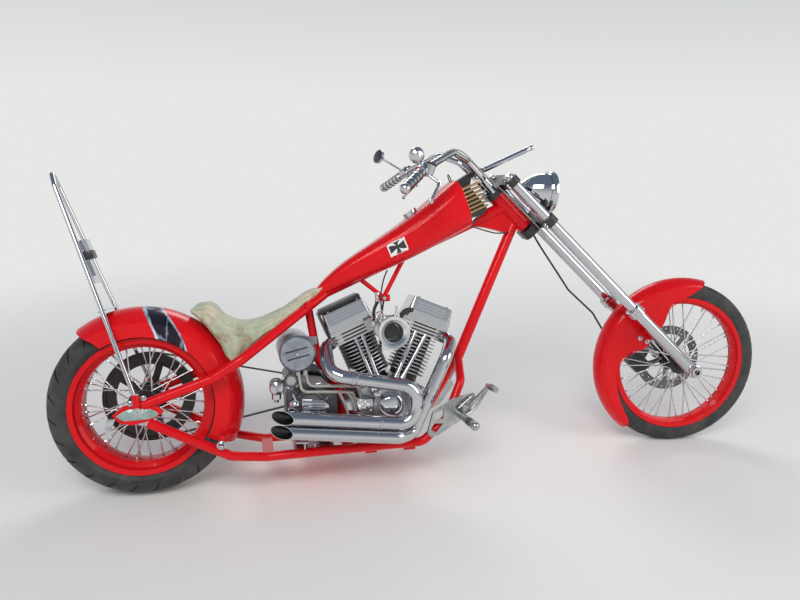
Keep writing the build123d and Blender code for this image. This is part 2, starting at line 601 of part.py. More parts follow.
sissy_line = [(-4, -SISSY_Y, SISSY_LOW), (-4 - SISSY_BACK, -SISSY_NECK, SISSY_HIGH), (-270, -9, 1150),
              (-270, 9, 1150), (-4 - SISSY_BACK, SISSY_NECK, SISSY_HIGH), (-4, SISSY_Y, SISSY_LOW)]
sissy = bent(sissy_line, SISSY_R, 8)
lugs = [rod((-2, h * (SISSY_Y - 1), 344), (-4, h * (SISSY_Y - 1), 396), 11) for h in (-1, 1)]
brace_x, brace_y = sissy_place(678)
brace = box(30, 2 * brace_y, 5, (brace_x, 0, 676), -18)
nodes["sissy_bar"] = (sissy + lugs[0] + lugs[1] + brace) - nodes["frame_stays"] - nodes["rear_fender"]
LAMP_Z = 896.0
lamp_x, lamp_half = sissy_place(LAMP_Z)
tail_bar = Box(14, 2 * lamp_half, 26)
tail_shell = Pos(10, 0, -10) * Box(30, 60, 66)
plate_arm = Pos(6, 0, -62) * Box(6, 40, 90)
blank_plate = Pos(1.5, 0, -92) * Box(3, 96, 84)
tail_tilt = -math.degrees(math.atan2(SISSY_BACK, SISSY_HIGH - SISSY_LOW))
tail_parts = tail_bar + tail_shell + plate_arm + blank_plate
tail_lamp = Pos(lamp_x, 0, LAMP_Z) * Rot(0, tail_tilt, 0) * tail_parts
nodes["tail_lamp"] = tail_lamp - nodes["sissy_bar"]

# Ornament on the tank front: cowl, twin tubes and brass rods.
RECEIVER_HALF = 29.0
receiver_line = neck_outline([(-262, 101), (-146, 173), (-130, 166), (-130, 150), (-176, 133),
                              (-188, 63), (-240, 43)])
receiver = slab(receiver_line, -RECEIVER_HALF, RECEIVER_HALF)
COWL_HALF = 68.0
cowl_line = neck_outline([(-254, 95), (-192, 86), (-126, 8), (-144, -17), (-194, -32), (-234, 63)])
cowl = slab(cowl_line, -COWL_HALF, COWL_HALF)
nodes["ornament_housing"] = (receiver + cowl) - nodes["tank"] - nodes["frame_neck"]
tubes = []
for hand in (-1, 1):
    tubes.append(rod(near_neck(-134, 158, hand * 17), near_neck(94, 259, hand * 17), 11))
nodes["ornament_tubes"] = Compound([t - nodes["ornament_housing"] for t in tubes])
rods = []
for k in range(7):
    f = k / 6
    rod_low = near_neck(-228 + 34 * f, 79 - 88 * f, -COWL_HALF - 5)
    rods.append(rod(rod_low, rod_low + Vector(60, 0, 26), 5))
nodes["brass_rods"] = Compound(rods)

# Forward controls.
CONTROL_IN = 139.5
CONTROL_OUT = 151.5
control_outline = [(1022, 172), (1046, 252), (1130, 298), (1210, 314), (1222, 292), (1160, 214),
                   (1062, 160), (1034, 156)]
controls = []
for hand in (-1, 1):
    plate_solid = slab(control_outline, min(hand * CONTROL_IN, hand * CONTROL_OUT),
                       max(hand * CONTROL_IN, hand * CONTROL_OUT))
    windows = [[(1050, 242), (1088, 262), (1086, 222), (1052, 218)],
               [(1036, 182), (1048, 208), (1084, 204), (1056, 172)]]
    for window in windows:
        plate_solid = plate_solid - slab(window, min(hand * 130, hand * 160), max(hand * 130, hand * 160))
    peg = rod((1144, hand * CONTROL_IN, 240), (1146, hand * 330, 236), 14)
    ball = Pos(1146, hand * 338, 236) * Sphere(17)
    pivot = rod((1166, hand * CONTROL_OUT, 262), (1166, hand * 196, 262), 16)
    arm = rod((1166, hand * 188, 262), (1246, hand * 214, 350), 8)
    toe = rod((1246, hand * 208, 350), (1246, hand * 290, 350), 11)
    clamp = rod((1112, hand * 122, 228), (1112, hand * (CONTROL_IN + 2), 228), 20)
    controls.append((plate_solid + peg + ball + pivot + arm + toe + clamp) - nodes["frame_rails"])
nodes["forward_controls"] = Compound(controls)

# Side stand.
STAND_PIVOT = Vector(1010, 164, 110)
STAND_PIN_R = 6.0
FOOT_Y = 348.0
floor_up = Vector(0, -math.sin(lean_rad), math.cos(lean_rad))
foot_on_floor = Vector(1066, FOOT_Y, FOOT_Y * math.tan(lean_rad))
stand_leg = rod(STAND_PIVOT, foot_on_floor + floor_up * 12, 9)
stand_foot = rod(foot_on_floor, foot_on_floor + floor_up * 8, 24)
stand_down = (foot_on_floor - STAND_PIVOT).normalized()
stand_back = Vector(-0.985, 0.15, 0.08).normalized()
stand_axis = stand_back.cross(stand_down).normalized()
knuckle = rod(STAND_PIVOT - stand_axis * 9, STAND_PIVOT + stand_axis * 9, 15)
nodes["side_stand"] = stand_leg + stand_foot + knuckle
stand_pin = rod(STAND_PIVOT - stand_axis * 20, STAND_PIVOT + stand_axis * 20, STAND_PIN_R)
stand_plate = (rod(STAND_PIVOT - stand_axis * 17, STAND_PIVOT - stand_axis * 11, 17)
               + rod(STAND_PIVOT - stand_axis * 16, (1010, 126, 134), 6))
stand_bore = rod(STAND_PIVOT - stand_axis * 20, STAND_PIVOT + stand_axis * 20, STAND_PIN_R + 0.6)
nodes["side_stand"] = nodes["side_stand"] - stand_bore
nodes["stand_bracket"] = (stand_pin + stand_plate) - nodes["frame_rails"]

# Fork.
LEG_Y = 128.0
TUBE_R = 21.5
SLIDER_R = 25.0
SLIDER_TOP = 362.0
LEG_TOP = 1134.0
TREE_LOW = 880.0
TREE_HIGH = 1098.0
TREE_T = 28.0
legs = []
for hand in (-1, 1):
    slider = rod(along(-26, hand * LEG_Y), along(SLIDER_TOP, hand * LEG_Y), SLIDER_R)
    collar = rod(along(SLIDER_TOP - 14, hand * LEG_Y), along(SLIDER_TOP + 24, hand * LEG_Y), SLIDER_R + 6)
    tube = rod(along(SLIDER_TOP, hand * LEG_Y), along(LEG_TOP, hand * LEG_Y), TUBE_R)
    cap = rod(along(LEG_TOP, hand * LEG_Y), along(LEG_TOP + 8, hand * LEG_Y), 15)
    legs.append(slider + collar + tube + cap)
spindle = rod(along(0, -SPINDLE_HALF), along(0, SPINDLE_HALF), AXLE_R)
spindle_bore = rod(along(0, -SPINDLE_HALF - 5), along(0, SPINDLE_HALF + 5), AXLE_BORE)
nodes["fork_legs"] = legs[0] + legs[1] + spindle - spindle_bore

trees = []
for t, thick in ((TREE_LOW, TREE_T + 6), (TREE_HIGH, TREE_T)):
    plane = Plane(origin=along(t, 0, -AXLE_OFFSET), x_dir=side, z_dir=leg)
    bar = plane * extrude(Pos(0, -4, 0) * RectangleRounded(120, 84, 30), thick)
    arm = plane * extrude(Pos(0, -AXLE_OFFSET, 0) * RectangleRounded(2 * LEG_Y + 66, 56, 26), thick)
    trees.append(bar + arm)
stem_top = along(TREE_HIGH + TREE_T, 0, -AXLE_OFFSET)
stem = rod(along(TREE_LOW, 0, -AXLE_OFFSET), stem_top, HEAD_BORE - STEM_RUN)
leg_room = [rod(along(860, h * LEG_Y), along(1140, h * LEG_Y), TUBE_R) for h in (-1, 1)]
nodes["fork_trees"] = trees[0] + trees[1] + stem - leg_room[0] - leg_room[1]

# Front fender: a round shell cut to its side outline.
FF_GAP = 18.5
FF_HALF = 52.0
FF_LOW = 150.0
FF_CROWN = 32.0
FF_R = FRONT_TYRE_R + FF_GAP
FF_EDGE = FF_R - FF_CROWN
ff_in = FF_HALF - FENDER_T
ff_out = [
    Line((FF_LOW, FF_HALF), (FF_EDGE, FF_HALF)),
    ThreePointArc((FF_EDGE, FF_HALF), (FF_R, 0), (FF_EDGE, -FF_HALF)),
    Polyline((FF_EDGE, -FF_HALF), (FF_LOW, -FF_HALF), (FF_LOW, -ff_in), (FF_EDGE, -ff_in)),
    ThreePointArc((FF_EDGE, -ff_in), (FF_R - FENDER_T, 0), (FF_EDGE, ff_in)),
    Polyline((FF_EDGE, ff_in), (FF_LOW, ff_in), (FF_LOW, FF_HALF)),
]
ff_ring = revolve(make_face(Curve() + ff_out), Axis.Y, 360)
# The side outline about the axle: (x, z) ends and middles of its arcs, from the tip round by the fork.
ff_tip = (0.289 * (FF_R + 17), 0.957 * (FF_R + 17))
ff_tail = (-0.72 * (FF_R + 26), -0.694 * (FF_R + 26))
ff_clear = FF_R + 60
ff_arcs = [
    (ff_tip, (50, 322), (-22, 281)),
    ((-22, 281), (-68, 255), (-81, 227)),
    ((-81, 227), (-88, 200), (-96, 178)),
    ((-96, 178), (-120, 150), (-146, 118)),
    ((-146, 118), (-158, 88), (-205, 67.5)),
    ((-205, 67.5), (-262, 38), (-289, -12)),
    ((-289, -12), (-290, -64), (-277, -127)),
    ((-277, -127), (-255, -187), (-228, -234.5)),
    ((-228, -234.5), (-222, -258), ff_tail),
]
ff_edge = [ThreePointArc(a, b, c) for a, b, c in ff_arcs]
ff_edge.append(Polyline(ff_tail, (-ff_clear, ff_tail[1]), (-ff_clear, ff_clear), (ff_tip[0], ff_clear),
                        ff_tip))
ff_face = make_face(Curve() + ff_edge)
ff_keep = Pos(0, 80, 0) * extrude(Plane.XZ * ff_face, amount=160)
front_fender = Pos(*front_axle) * (ff_ring & ff_keep)
fender_posts = []
for hand in (-1, 1):
    for t in (212, 246):
        inner = along(t, hand * (FF_HALF - 2), -14)
        outer = along(t, hand * (LEG_Y - 8), -14)
        fender_posts.append(rod(inner, outer, 8))
nodes["front_fender"] = front_fender.fuse(*fender_posts) - nodes["fork_legs"]

# Front caliper.
caliper_mid = along(88, 0, -104)
caliper_plane = Plane(origin=caliper_mid, x_dir=leg, z_dir=side)
caliper_out = caliper_plane * (Pos(0, 0, DISC_Y + 6) * extrude(RectangleRounded(104, 56, 14), 22))
caliper_in = caliper_plane * (Pos(0, 0, DISC_Y - 16) * extrude(RectangleRounded(96, 58, 12), 15))
caliper_bridge = caliper_plane * (Pos(0, -34, DISC_Y + 6) * Box(80, 14, 44))
caliper_arms = [rod(along(t, 84, -90), along(t, LEG_Y - 10, -6), 9) for t in (70, 112)]
caliper = caliper_out + caliper_in + caliper_bridge + caliper_arms[0] + caliper_arms[1]
room_in = DISC_Y - 2
room_out = DISC_Y + DISC_T + 2
disc_room = Pos(*front_axle) * turned([
    (0, room_in), (DISC_R + 4, room_in), (DISC_R + 4, room_out), (0, room_out)])
nodes["front_caliper"] = caliper - disc_room - nodes["fork_legs"]

# Headlamp.
LAMP_BACK = near_neck(24, 85)
LAMP_LONG = 148.0
LAMP_R = 82.0
LAMP_PITCH = 4.0
shell_edge = [
    Line((0, 0), (14, 0)),
    ThreePointArc((14, 0), (60, 48), (LAMP_R - 5, LAMP_LONG - 24)),
    Polyline((LAMP_R - 5, LAMP_LONG - 24), (LAMP_R, LAMP_LONG - 22), (LAMP_R, LAMP_LONG - 2),
             (LAMP_R - 5, LAMP_LONG + 2), (LAMP_R - 8, LAMP_LONG), (54, LAMP_LONG + 7),
             (26, LAMP_LONG + 10), (0, LAMP_LONG + 10), (0, 0)),
]
lamp = revolve(make_face(Curve() + shell_edge), Axis.Y, 360)
lamp = Pos(*LAMP_BACK) * Rot(0, LAMP_PITCH, 0) * Rot(0, 0, -90) * lamp
lamp_post = rod(along(906, 0, 6), near_neck(132, 49), 11) - nodes["fork_trees"]
nodes["headlamp"] = lamp.fuse(lamp_post) - nodes["fork_trees"]

# Handlebar on its risers.
BAR_R = 13.0
RISER_Y = 48.0
GRIP_R = 18.0
GRIP_LONG = 120.0
# bar table: ahead of the neck's middle, out to the side, above the neck's middle
bar_side = [(-126, 62, 125), (-198, 78, 195), (-270, 142, 227), (-400, 268, 159), (-478, 386, 97)]
bar_side = [near_neck(dx, dz, y) for dx, y, dz in bar_side]
bar_line = [(p.X, -p.Y, p.Z) for p in reversed(bar_side)] + [(p.X, p.Y, p.Z) for p in bar_side]
bar = bent(bar_line, BAR_R, 34)
bar_end = bar_side[-1]
bar_knee = bar_side[-2]
grip_way = (bar_end - bar_knee).normalized()
for hand in (-1, 1):
    riser_foot = along(TREE_HIGH + 22, hand * RISER_Y, -AXLE_OFFSET - 2)
    riser = rod(riser_foot, near_neck(-126, 125, hand * RISER_Y), 16)
    bar = bar + riser
    grip_to = Vector(bar_end.X, hand * bar_end.Y, bar_end.Z)
    way = Vector(grip_way.X, hand * grip_way.Y, grip_way.Z)
    grip = rod(grip_to - way * GRIP_LONG, grip_to + way * 2, GRIP_R)
    knob = Pos(*(grip_to + way * 8)) * Sphere(GRIP_R + 1.5)
    bar = bar + (grip + knob)
nodes["handlebar"] = bar - nodes["fork_trees"]

# Levers with their cylinders, and the mirrors.
# mirror table: side, ahead of the neck's middle, out to the side, above the neck's middle,
#               way the glass faces, radius
mirrors = [(-1, -427, 300, 207, Vector(-0.35, 0.93, 0.1), 29),
           (1, -510, 282, 226, Vector(-0.8, -0.5, 0.3), 31)]
fittings = []
for hand, mirror_x, mirror_y, mirror_z, faces, mirror_r in mirrors:
    clamp = rod(near_neck(-392, 167, hand * 252), near_neck(-410, 151, hand * 274), 21)
    reservoir = rod(near_neck(-384, 145, hand * 262), near_neck(-370, 181, hand * 262), 19)
    lever = bent([near_neck(-390, 147, hand * 262), near_neck(-346, 112, hand * 286),
                  near_neck(-392, 52, hand * 382)], 6, 12)
    mirror_at = near_neck(mirror_x, mirror_z, hand * mirror_y)
    glass_side = faces.normalized()
    bowl = turned([(0, 10), (mirror_r, 10), (mirror_r, 1), (mirror_r * 0.86, -5), (mirror_r * 0.55, -11),
                   (0, -14)])
    mirror = Plane(origin=mirror_at, z_dir=glass_side) * Rot(90, 0, 0) * bowl
    mirror_stem = rod(near_neck(-400, 160, hand * 268), mirror_at, 5)
    fittings.append((clamp + reservoir + lever + mirror + mirror_stem) - nodes["handlebar"])
nodes["bar_fittings"] = Compound(fittings)

# Brake line, down behind the fork to the caliper.
line = bent([along(884, 60, -40), along(800, 62, -60), along(560, 70, -104), along(400, 84, -96),
             along(250, 88, -130), along(128, 82, -112)], 4, 60)
nodes["brake_line"] = line - nodes["front_caliper"] - nodes["fork_trees"]

for name in ("fork_legs", "fork_trees", "front_fender", "front_caliper", "headlamp", "handlebar",
             "bar_fittings", "brake_line"):
    steered.add(name)

# Turn the fork, lean the bike, stand it on the floor and centre it.
placed = {}
for name, shape in nodes.items():
    if name in steered:
        shape = shape.rotate(steer_axis, STEER)
    placed[name] = shape.rotate(Axis.X, -LEAN)

boxes = [shape.bounding_box() for shape in placed.values()]
mid_x = (min(b.min.X for b in boxes) + max(b.max.X for b in boxes)) / 2
mid_y = (min(b.min.Y for b in boxes) + max(b.max.Y for b in boxes)) / 2
low_z = min(b.min.Z for b in boxes)
print("centre", round(mid_x, 4), round(mid_y, 4), "lowest", round(low_z, 4))

for name, shape in placed.items():
    export_step(Pos(-mid_x, -mid_y, -low_z) * shape, f"parts/{name}.step")
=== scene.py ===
import bpy
import json
from math import asin, atan2, cos, exp, pi, radians, sin, sqrt
from mathutils import Matrix, Vector


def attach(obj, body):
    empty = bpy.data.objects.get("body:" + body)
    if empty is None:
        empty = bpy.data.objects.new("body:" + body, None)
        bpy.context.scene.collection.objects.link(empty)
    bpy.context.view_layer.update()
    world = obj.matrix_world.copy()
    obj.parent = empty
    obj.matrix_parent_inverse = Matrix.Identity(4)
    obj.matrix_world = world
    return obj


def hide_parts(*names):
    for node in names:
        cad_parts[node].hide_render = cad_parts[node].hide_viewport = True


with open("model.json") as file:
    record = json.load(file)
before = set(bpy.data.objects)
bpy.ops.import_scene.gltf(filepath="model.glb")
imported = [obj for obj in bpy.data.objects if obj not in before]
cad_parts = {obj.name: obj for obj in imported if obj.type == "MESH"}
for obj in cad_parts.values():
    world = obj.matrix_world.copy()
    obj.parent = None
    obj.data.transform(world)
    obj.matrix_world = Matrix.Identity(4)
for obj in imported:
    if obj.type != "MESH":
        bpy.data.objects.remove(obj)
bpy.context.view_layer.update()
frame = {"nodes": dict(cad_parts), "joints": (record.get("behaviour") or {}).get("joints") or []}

# Everything is placed in the upright bike frame: x forward, y to the rider's left, z up, the
# rear tyre's contact at the origin. A tuple is a place in millimetres, a Vector is in metres,
# and the sizes of pieces are in millimetres. settle() leans a finished piece onto the side
# stand, and turns what sits on the fork.
LEAN = 14.0
STEER = -9.2
RAKE = 45.8
BANK = 22.5
REAR_AXLE = Vector((0, 0, 0.32975))
FRONT_AXLE = Vector((2.193, 0, 0.35904))
CRANK = Vector((0.903, 0, 0.226))
NECK = Vector((1.42996, 0, 1.01737))
LEG_Y = 128
SIDE = Vector((0, 1, 0))
UP = Vector((0, 0, 1))
LEG = Vector((-sin(radians(RAKE)), 0, cos(radians(RAKE))))
AHEAD = Vector((cos(radians(RAKE)), 0, sin(radians(RAKE))))
HANDS = (-1, 1)
ON_FORK = ("fork", "front_wheel")

joints = {joint["name"]: joint for joint in frame["joints"]}
lean_turn = Matrix.Rotation(radians(-LEAN), 4, "X")
bike_shift = Vector(joints["rear_wheel_spin"]["pos_m"]) - lean_turn @ REAR_AXLE
BIKE = Matrix.Translation(bike_shift) @ lean_turn
steer_at = Vector(joints["steering"]["pos_m"])
steer_about = Vector(joints["steering"]["axis"])
STEERED = (Matrix.Translation(steer_at) @ Matrix.Rotation(radians(STEER), 4, steer_about)
           @ Matrix.Translation(-steer_at) @ BIKE)


def mm(x, y, z):
    return Vector((x, y, z)) / 1000


def spot(place):
    return place if isinstance(place, Vector) else mm(*place)


def along(t, y=0, forward=0):
    # a place t mm up the fork from the front axle
    return FRONT_AXLE + (LEG * t + AHEAD * forward + SIDE * y) / 1000


def near_neck(ahead_by, up_by, y=0):
    # a place measured from the middle of the head tube
    return NECK + mm(ahead_by, y, up_by)


def on_bank(tilt, along_x, y, up):
    # a place on a leaning bank, measured from the crank's centre
    a = radians(tilt)
    upward, across = Vector((sin(a), 0, cos(a))), Vector((cos(a), 0, -sin(a)))
    return CRANK + (upward * up + across * along_x + SIDE * y) / 1000


def mirrored(*places):
    # each place on the right and on the left, with the way outward
    return [(mm(x, hand * y, z), SIDE * hand) for hand in HANDS for x, y, z in places]


# Materials: small helpers that add nodes to one material.
def fill(made, socket, value):
    # value is a number, a vector, a colour as a tuple, or another node's output
    if isinstance(value, bpy.types.NodeSocket):
        made.node_tree.links.new(value, socket)
    else:
        socket.default_value = (*value, 1) if isinstance(value, tuple) else value


def node(made, kind, inputs={}, **values):
    made_node = made.node_tree.nodes.new("ShaderNode" + kind)
    for key, value in values.items():
        setattr(made_node, key, value)
    for key, value in inputs.items():
        fill(made, made_node.inputs[key], value)
    return made_node


def shader_of(made):
    return made.node_tree.nodes["Principled BSDF"]


def feed(made, key, value):
    fill(made, shader_of(made).inputs[key], value)


def fed(made, key):
    return shader_of(made).inputs[key].links[0].from_socket


def material(name, colour, roughness, metallic=0.0, coat=0.0, coat_roughness=0.03):
    made = bpy.data.materials.new(name)
    made.use_nodes = True
    for key, value in (("Base Color", colour), ("Roughness", roughness), ("Metallic", metallic),
                       ("Coat Weight", coat), ("Coat Roughness", coat_roughness)):
        feed(made, key, value)
    made.diffuse_color = (*colour, 1)
    return made


def object_place(made):
    return node(made, "TexCoord").outputs["Object"]


def noise(made, scale, detail, roughness=0.5, place=None):
    return node(made, "TexNoise", {"Scale": scale, "Detail": detail, "Roughness": roughness,
                                   "Vector": place or object_place(made)}).outputs["Fac"]


def stripes(made, direction, scale, distortion=0.0):
    return node(made, "TexWave", {"Scale": scale, "Distortion": distortion, "Vector": object_place(made)},
                wave_type="BANDS", bands_direction=direction).outputs["Fac"]


def ramp(made, source, *stops):
    # each stop is (place, colour or grey value)
    steps = node(made, "ValToRGB", {"Fac": source})
    elements = steps.color_ramp.elements
    while len(elements) < len(stops):
        elements.new(0.5)
    for element, (place, colour) in zip(elements, stops):
        element.position = place
        element.color = (*colour, 1) if isinstance(colour, tuple) else (colour, colour, colour, 1)
    return steps.outputs["Color"]


def vary(made, key, field, *stops):
    # one input that changes over the surface with a noise of (scale, detail, roughness)
    feed(made, key, ramp(made, noise(made, *field), *stops))


def bump(made, source, strength, high):
    inputs = {"Strength": strength, "Distance": high, "Height": source}
    if shader_of(made).inputs["Normal"].is_linked:
        inputs["Normal"] = fed(made, "Normal")
    feed(made, "Normal", node(made, "Bump", inputs).outputs["Normal"])


def mix(made, factor, first, second):
    inputs = {"Factor": factor, "A": first, "B": second}
    return node(made, "Mix", inputs, data_type="RGBA").outputs["Result"]


def calc(made, operation, *values):
    return node(made, "Math", dict(enumerate(values)), operation=operation).outputs["Value"]


def distance(made, a, b):
    squares = [calc(made, "POWER", leg, 2.0) for leg in (a, b)]
    return calc(made, "SQRT", calc(made, "ADD", *squares))


def bike_place(made, centre=Vector((0, 0, 0)), fork=False):
    # Object coordinates turned back to the upright bike frame and measured from centre
    back = (STEERED if fork else BIKE).inverted()
    return node(made, "Mapping", {"Rotation": back.to_euler("XYZ"), "Vector": object_place(made),
                                  "Location": back.to_translation() - centre},
                vector_type="POINT").outputs["Vector"]


def axes(made, *where):
    parts = node(made, "SeparateXYZ", {"Vector": bike_place(made, *where)}).outputs
    return parts["X"], parts["Y"], parts["Z"]


def red_paint(name="red_paint"):
    made = material(name, (0.72, 0.004, 0.010), 0.30, coat=0.30, coat_roughness=0.05)
    feed(made, "Specular IOR Level", 0.28)
    feed(made, "Specular Tint", (1.0, 0.30, 0.28))
    tone = ramp(made, noise(made, 3, 3), (0.3, (0.66, 0.003, 0.008)), (0.7, (0.78, 0.006, 0.012)))
    dust = ramp(made, noise(made, 14, 8, 0.65), (0.52, 0.0), (0.8, 0.12))
    feed(made, "Base Color", mix(made, dust, tone, (0.66, 0.07, 0.05)))
    vary(made, "Roughness", (9, 6), (0.35, 0.20), (0.75, 0.42))
    bump(made, noise(made, 420, 2), 0.05, 0.0004)
    return made


def chrome(name="chrome", colour=(0.58, 0.59, 0.61), low=0.04, high=0.14):
    made = material(name, colour, low, metallic=1.0)
    vary(made, "Roughness", (22, 8, 0.7), (0.45, low), (0.8, high))
    vary(made, "Base Color", (60, 6, 0.75), (0.60, colour), (0.82, (0.38, 0.33, 0.28)))
    bump(made, noise(made, 5, 2), 0.07, 0.004)
    return made


def cast(name, colour, rough):
    made = material(name, colour, rough, metallic=1.0)
    vary(made, "Base Color", (18, 6, 0.7), (0.40, colour), (0.78, tuple(c * 0.45 for c in colour)))
    vary(made, "Roughness", (35, 6), (0.3, rough - 0.1), (0.8, rough + 0.15))
    bump(made, noise(made, 700, 3), 0.25, 0.0006)
    return made


def black_coat(name="black_coat", colour=(0.018, 0.018, 0.02), rough=0.34):
    made = material(name, colour, rough)
    vary(made, "Base Color", (26, 6, 0.6), (0.35, colour), (0.85, (0.06, 0.056, 0.05)))
    bump(made, noise(made, 900, 3), 0.2, 0.0005)
    return made


def rubber(name, colour, dusty):
    made = material(name, colour, 0.62)
    vary(made, "Base Color", (12, 8, 0.7), (0.38, colour), (0.80, dusty))
    vary(made, "Roughness", (30, 6), (0.3, 0.5), (0.8, 0.8))
    bump(made, noise(made, 1100, 3), 0.2, 0.0004)
    return made


def wheel_hub(name, centre, fork, barrel_r):
    # black barrel and flanges, bright wire spokes beyond them
    made = material(name, (0.02, 0.02, 0.02), 0.3)
    x, _, z = axes(made, centre, fork)
    wire = calc(made, "GREATER_THAN", distance(made, x, z), barrel_r)
    feed(made, "Base Color", mix(made, wire, (0.018, 0.018, 0.018), (0.62, 0.62, 0.63)))
    feed(made, "Metallic", wire)
    vary(made, "Roughness", (40, 5), (0.3, 0.18), (0.8, 0.36))
    return made


def hose_braid():
    made = material("braided_line", (0.60, 0.57, 0.53), 0.45, metallic=0.7)
    weave = stripes(made, "DIAGONAL", 260)
    feed(made, "Base Color", ramp(made, weave, (0.2, (0.30, 0.28, 0.26)), (0.7, (0.70, 0.66, 0.60))))
    bump(made, weave, 0.5, 0.0006)
    return made


def leather():
    made = material("worn_leather", (0.55, 0.50, 0.36), 0.55)
    base = (0.62, 0.56, 0.40)
    # over the cream hide: green tint, brown wear, dirt; each (noise, clear at, full at, most, colour)
    for field, clear, full, most, colour in (((7, 6, 0.65), 0.42, 0.62, 1.0, (0.36, 0.46, 0.30)),
                                             ((11, 9, 0.72), 0.54, 0.68, 0.85, (0.30, 0.16, 0.08)),
                                             ((60, 9, 0.75), 0.50, 0.80, 0.55, (0.20, 0.15, 0.10))):
        share = ramp(made, noise(made, *field), (clear, 0.0), (full, most))
        base = mix(made, share, base, colour)
    feed(made, "Base Color", base)
    vary(made, "Roughness", (20, 6), (0.3, 0.42), (0.8, 0.75))
    pores = node(made, "TexVoronoi", {"Scale": 420, "Vector": object_place(made)},
                 feature="DISTANCE_TO_EDGE")
    bump(made, pores.outputs["Distance"], 0.35, 0.0008)
    bump(made, noise(made, 16, 6, 0.6), 0.35, 0.004)
    return made


# Each edge of the fender's band: its turn about the axle at the rim, less for each metre further in.
BAND_EDGES = ((1.553, 2.10), (1.352, 4.75))
FENDER_RIM_R = 0.352
STREAK_WIDE = 0.036


def fender_red():
    # red paint with a dark band over the crown; its edges are a pale pinstripe streaked with painted
    # reflection, and thin veins of painted reflection are drawn out over the band
    made = red_paint("banded_fender_paint")
    x, _, z = axes(made, REAR_AXLE)
    turn = calc(made, "ARCTAN2", z, x)
    inward = calc(made, "SUBTRACT", FENDER_RIM_R, distance(made, x, z))
    back_edge, front_edge = [calc(made, "SUBTRACT", rim, calc(made, "MULTIPLY", inward, slope))
                             for rim, slope in BAND_EDGES]
    depth = calc(made, "MINIMUM", calc(made, "SUBTRACT", back_edge, turn),
                 calc(made, "SUBTRACT", turn, front_edge))
    wave = calc(made, "MULTIPLY", calc(made, "SUBTRACT", noise(made, 26, 3), 0.5), 0.05)
    edge = calc(made, "LESS_THAN", calc(made, "ADD", depth, wave), STREAK_WIDE)
    run = node(made, "Mapping", {"Scale": Vector((1, 1, 0.35)), "Vector": bike_place(made, REAR_AXLE)},
               vector_type="POINT").outputs["Vector"]
    ground = (0.008, 0.011, 0.020)
    # painted reflection: the pale blue streaks along the band's edges, over a pale pinstripe, and the pale
    # veins drawn out over the dark band
    pinstripe_and_painted_reflection = ramp(made, noise(made, 38, 5, 0.7, run), (0.38, (0.10, 0.15, 0.20)),
                  (0.60, (0.55, 0.66, 0.74)))
    painted_reflection_veins = ramp(made, noise(made, 15, 3, 0.55, run), (0.470, ground), (0.500, (0.22, 0.30, 0.37)),
                 (0.530, ground))
    band = calc(made, "GREATER_THAN", depth, 0.0)
    feed(made, "Base Color", mix(made, band, fed(made, "Base Color"), mix(made, edge, painted_reflection_veins, pinstripe_and_painted_reflection)))
    return made


CORE_HALF = (0.026, 0.019)
FIN_RIM = 0.0468


def finned_metal():
    # black castings whose outer edges are polished bright, told by the distance from each bank's core
    made = black_coat("finned_metal", (0.012, 0.012, 0.013), 0.4)
    x, y, z = axes(made, CRANK)
    tilt = calc(made, "MULTIPLY", z, sin(radians(BANK)))
    flat = calc(made, "MULTIPLY", x, cos(radians(BANK)))
    which = calc(made, "SUBTRACT", calc(made, "MULTIPLY", calc(made, "LESS_THAN", x, 0.0), 2.0), 1.0)
    across = calc(made, "ADD", flat, calc(made, "MULTIPLY", tilt, which))
    corner = [calc(made, "MAXIMUM", calc(made, "SUBTRACT", calc(made, "ABSOLUTE", off), core), 0.0)
              for off, core in zip((across, y), CORE_HALF)]
    edge = calc(made, "GREATER_THAN", distance(made, *corner), FIN_RIM)
    feed(made, "Base Color", mix(made, edge, fed(made, "Base Color"), (0.60, 0.60, 0.60)))
    feed(made, "Metallic", edge)
    return made


PIPE_BORE_R = 0.0238
TIPS_END_X = 0.70
TAIL_RISE = 0.12245
TAIL_CORNERS = [(0.968, -0.205, 0.224), (0.900, -0.202, 0.180)]


def pipe_chrome():
    # chrome pipes, sooty black inside their open tips
    made = chrome("pipe_chrome")
    x, y, z = axes(made)
    level = calc(made, "ADD", z, calc(made, "MULTIPLY", x, TAIL_RISE))
    away = [distance(made, calc(made, "SUBTRACT", level, at_z + at_x * TAIL_RISE),
                     calc(made, "SUBTRACT", y, at_y)) for at_x, at_y, at_z in TAIL_CORNERS]
    inside = calc(made, "LESS_THAN", calc(made, "MINIMUM", *away), PIPE_BORE_R)
    soot = calc(made, "MULTIPLY", inside, calc(made, "LESS_THAN", x, TIPS_END_X))
    feed(made, "Base Color", mix(made, soot, fed(made, "Base Color"), (0.010, 0.009, 0.008)))
    feed(made, "Metallic", calc(made, "SUBTRACT", 1.0, soot))
    return made


def glass():
    made = material("lamp_glass", (0.86, 0.88, 0.90), 0.10, coat=1.0)
    ribs = stripes(made, "Y", 34)
    feed(made, "Base Color", ramp(made, ribs, (0.2, (0.52, 0.56, 0.60)), (0.8, (0.88, 0.90, 0.92))))
    bump(made, ribs, 0.6, 0.0015)
    return made


def decal_paint(name, colour):
    made = material(name, colour, 0.35, coat=0.6)
    vary(made, "Base Color", (60, 6, 0.7), (0.5, colour), (0.8, tuple(c * 0.85 + 0.03 for c in colour)))
    return made


def leaf_metal():
    made = cast("engraved_leaf", (0.46, 0.58, 0.55), 0.34)
    bump(made, stripes(made, "DIAGONAL", 60, 6), 0.5, 0.0008)
    return made


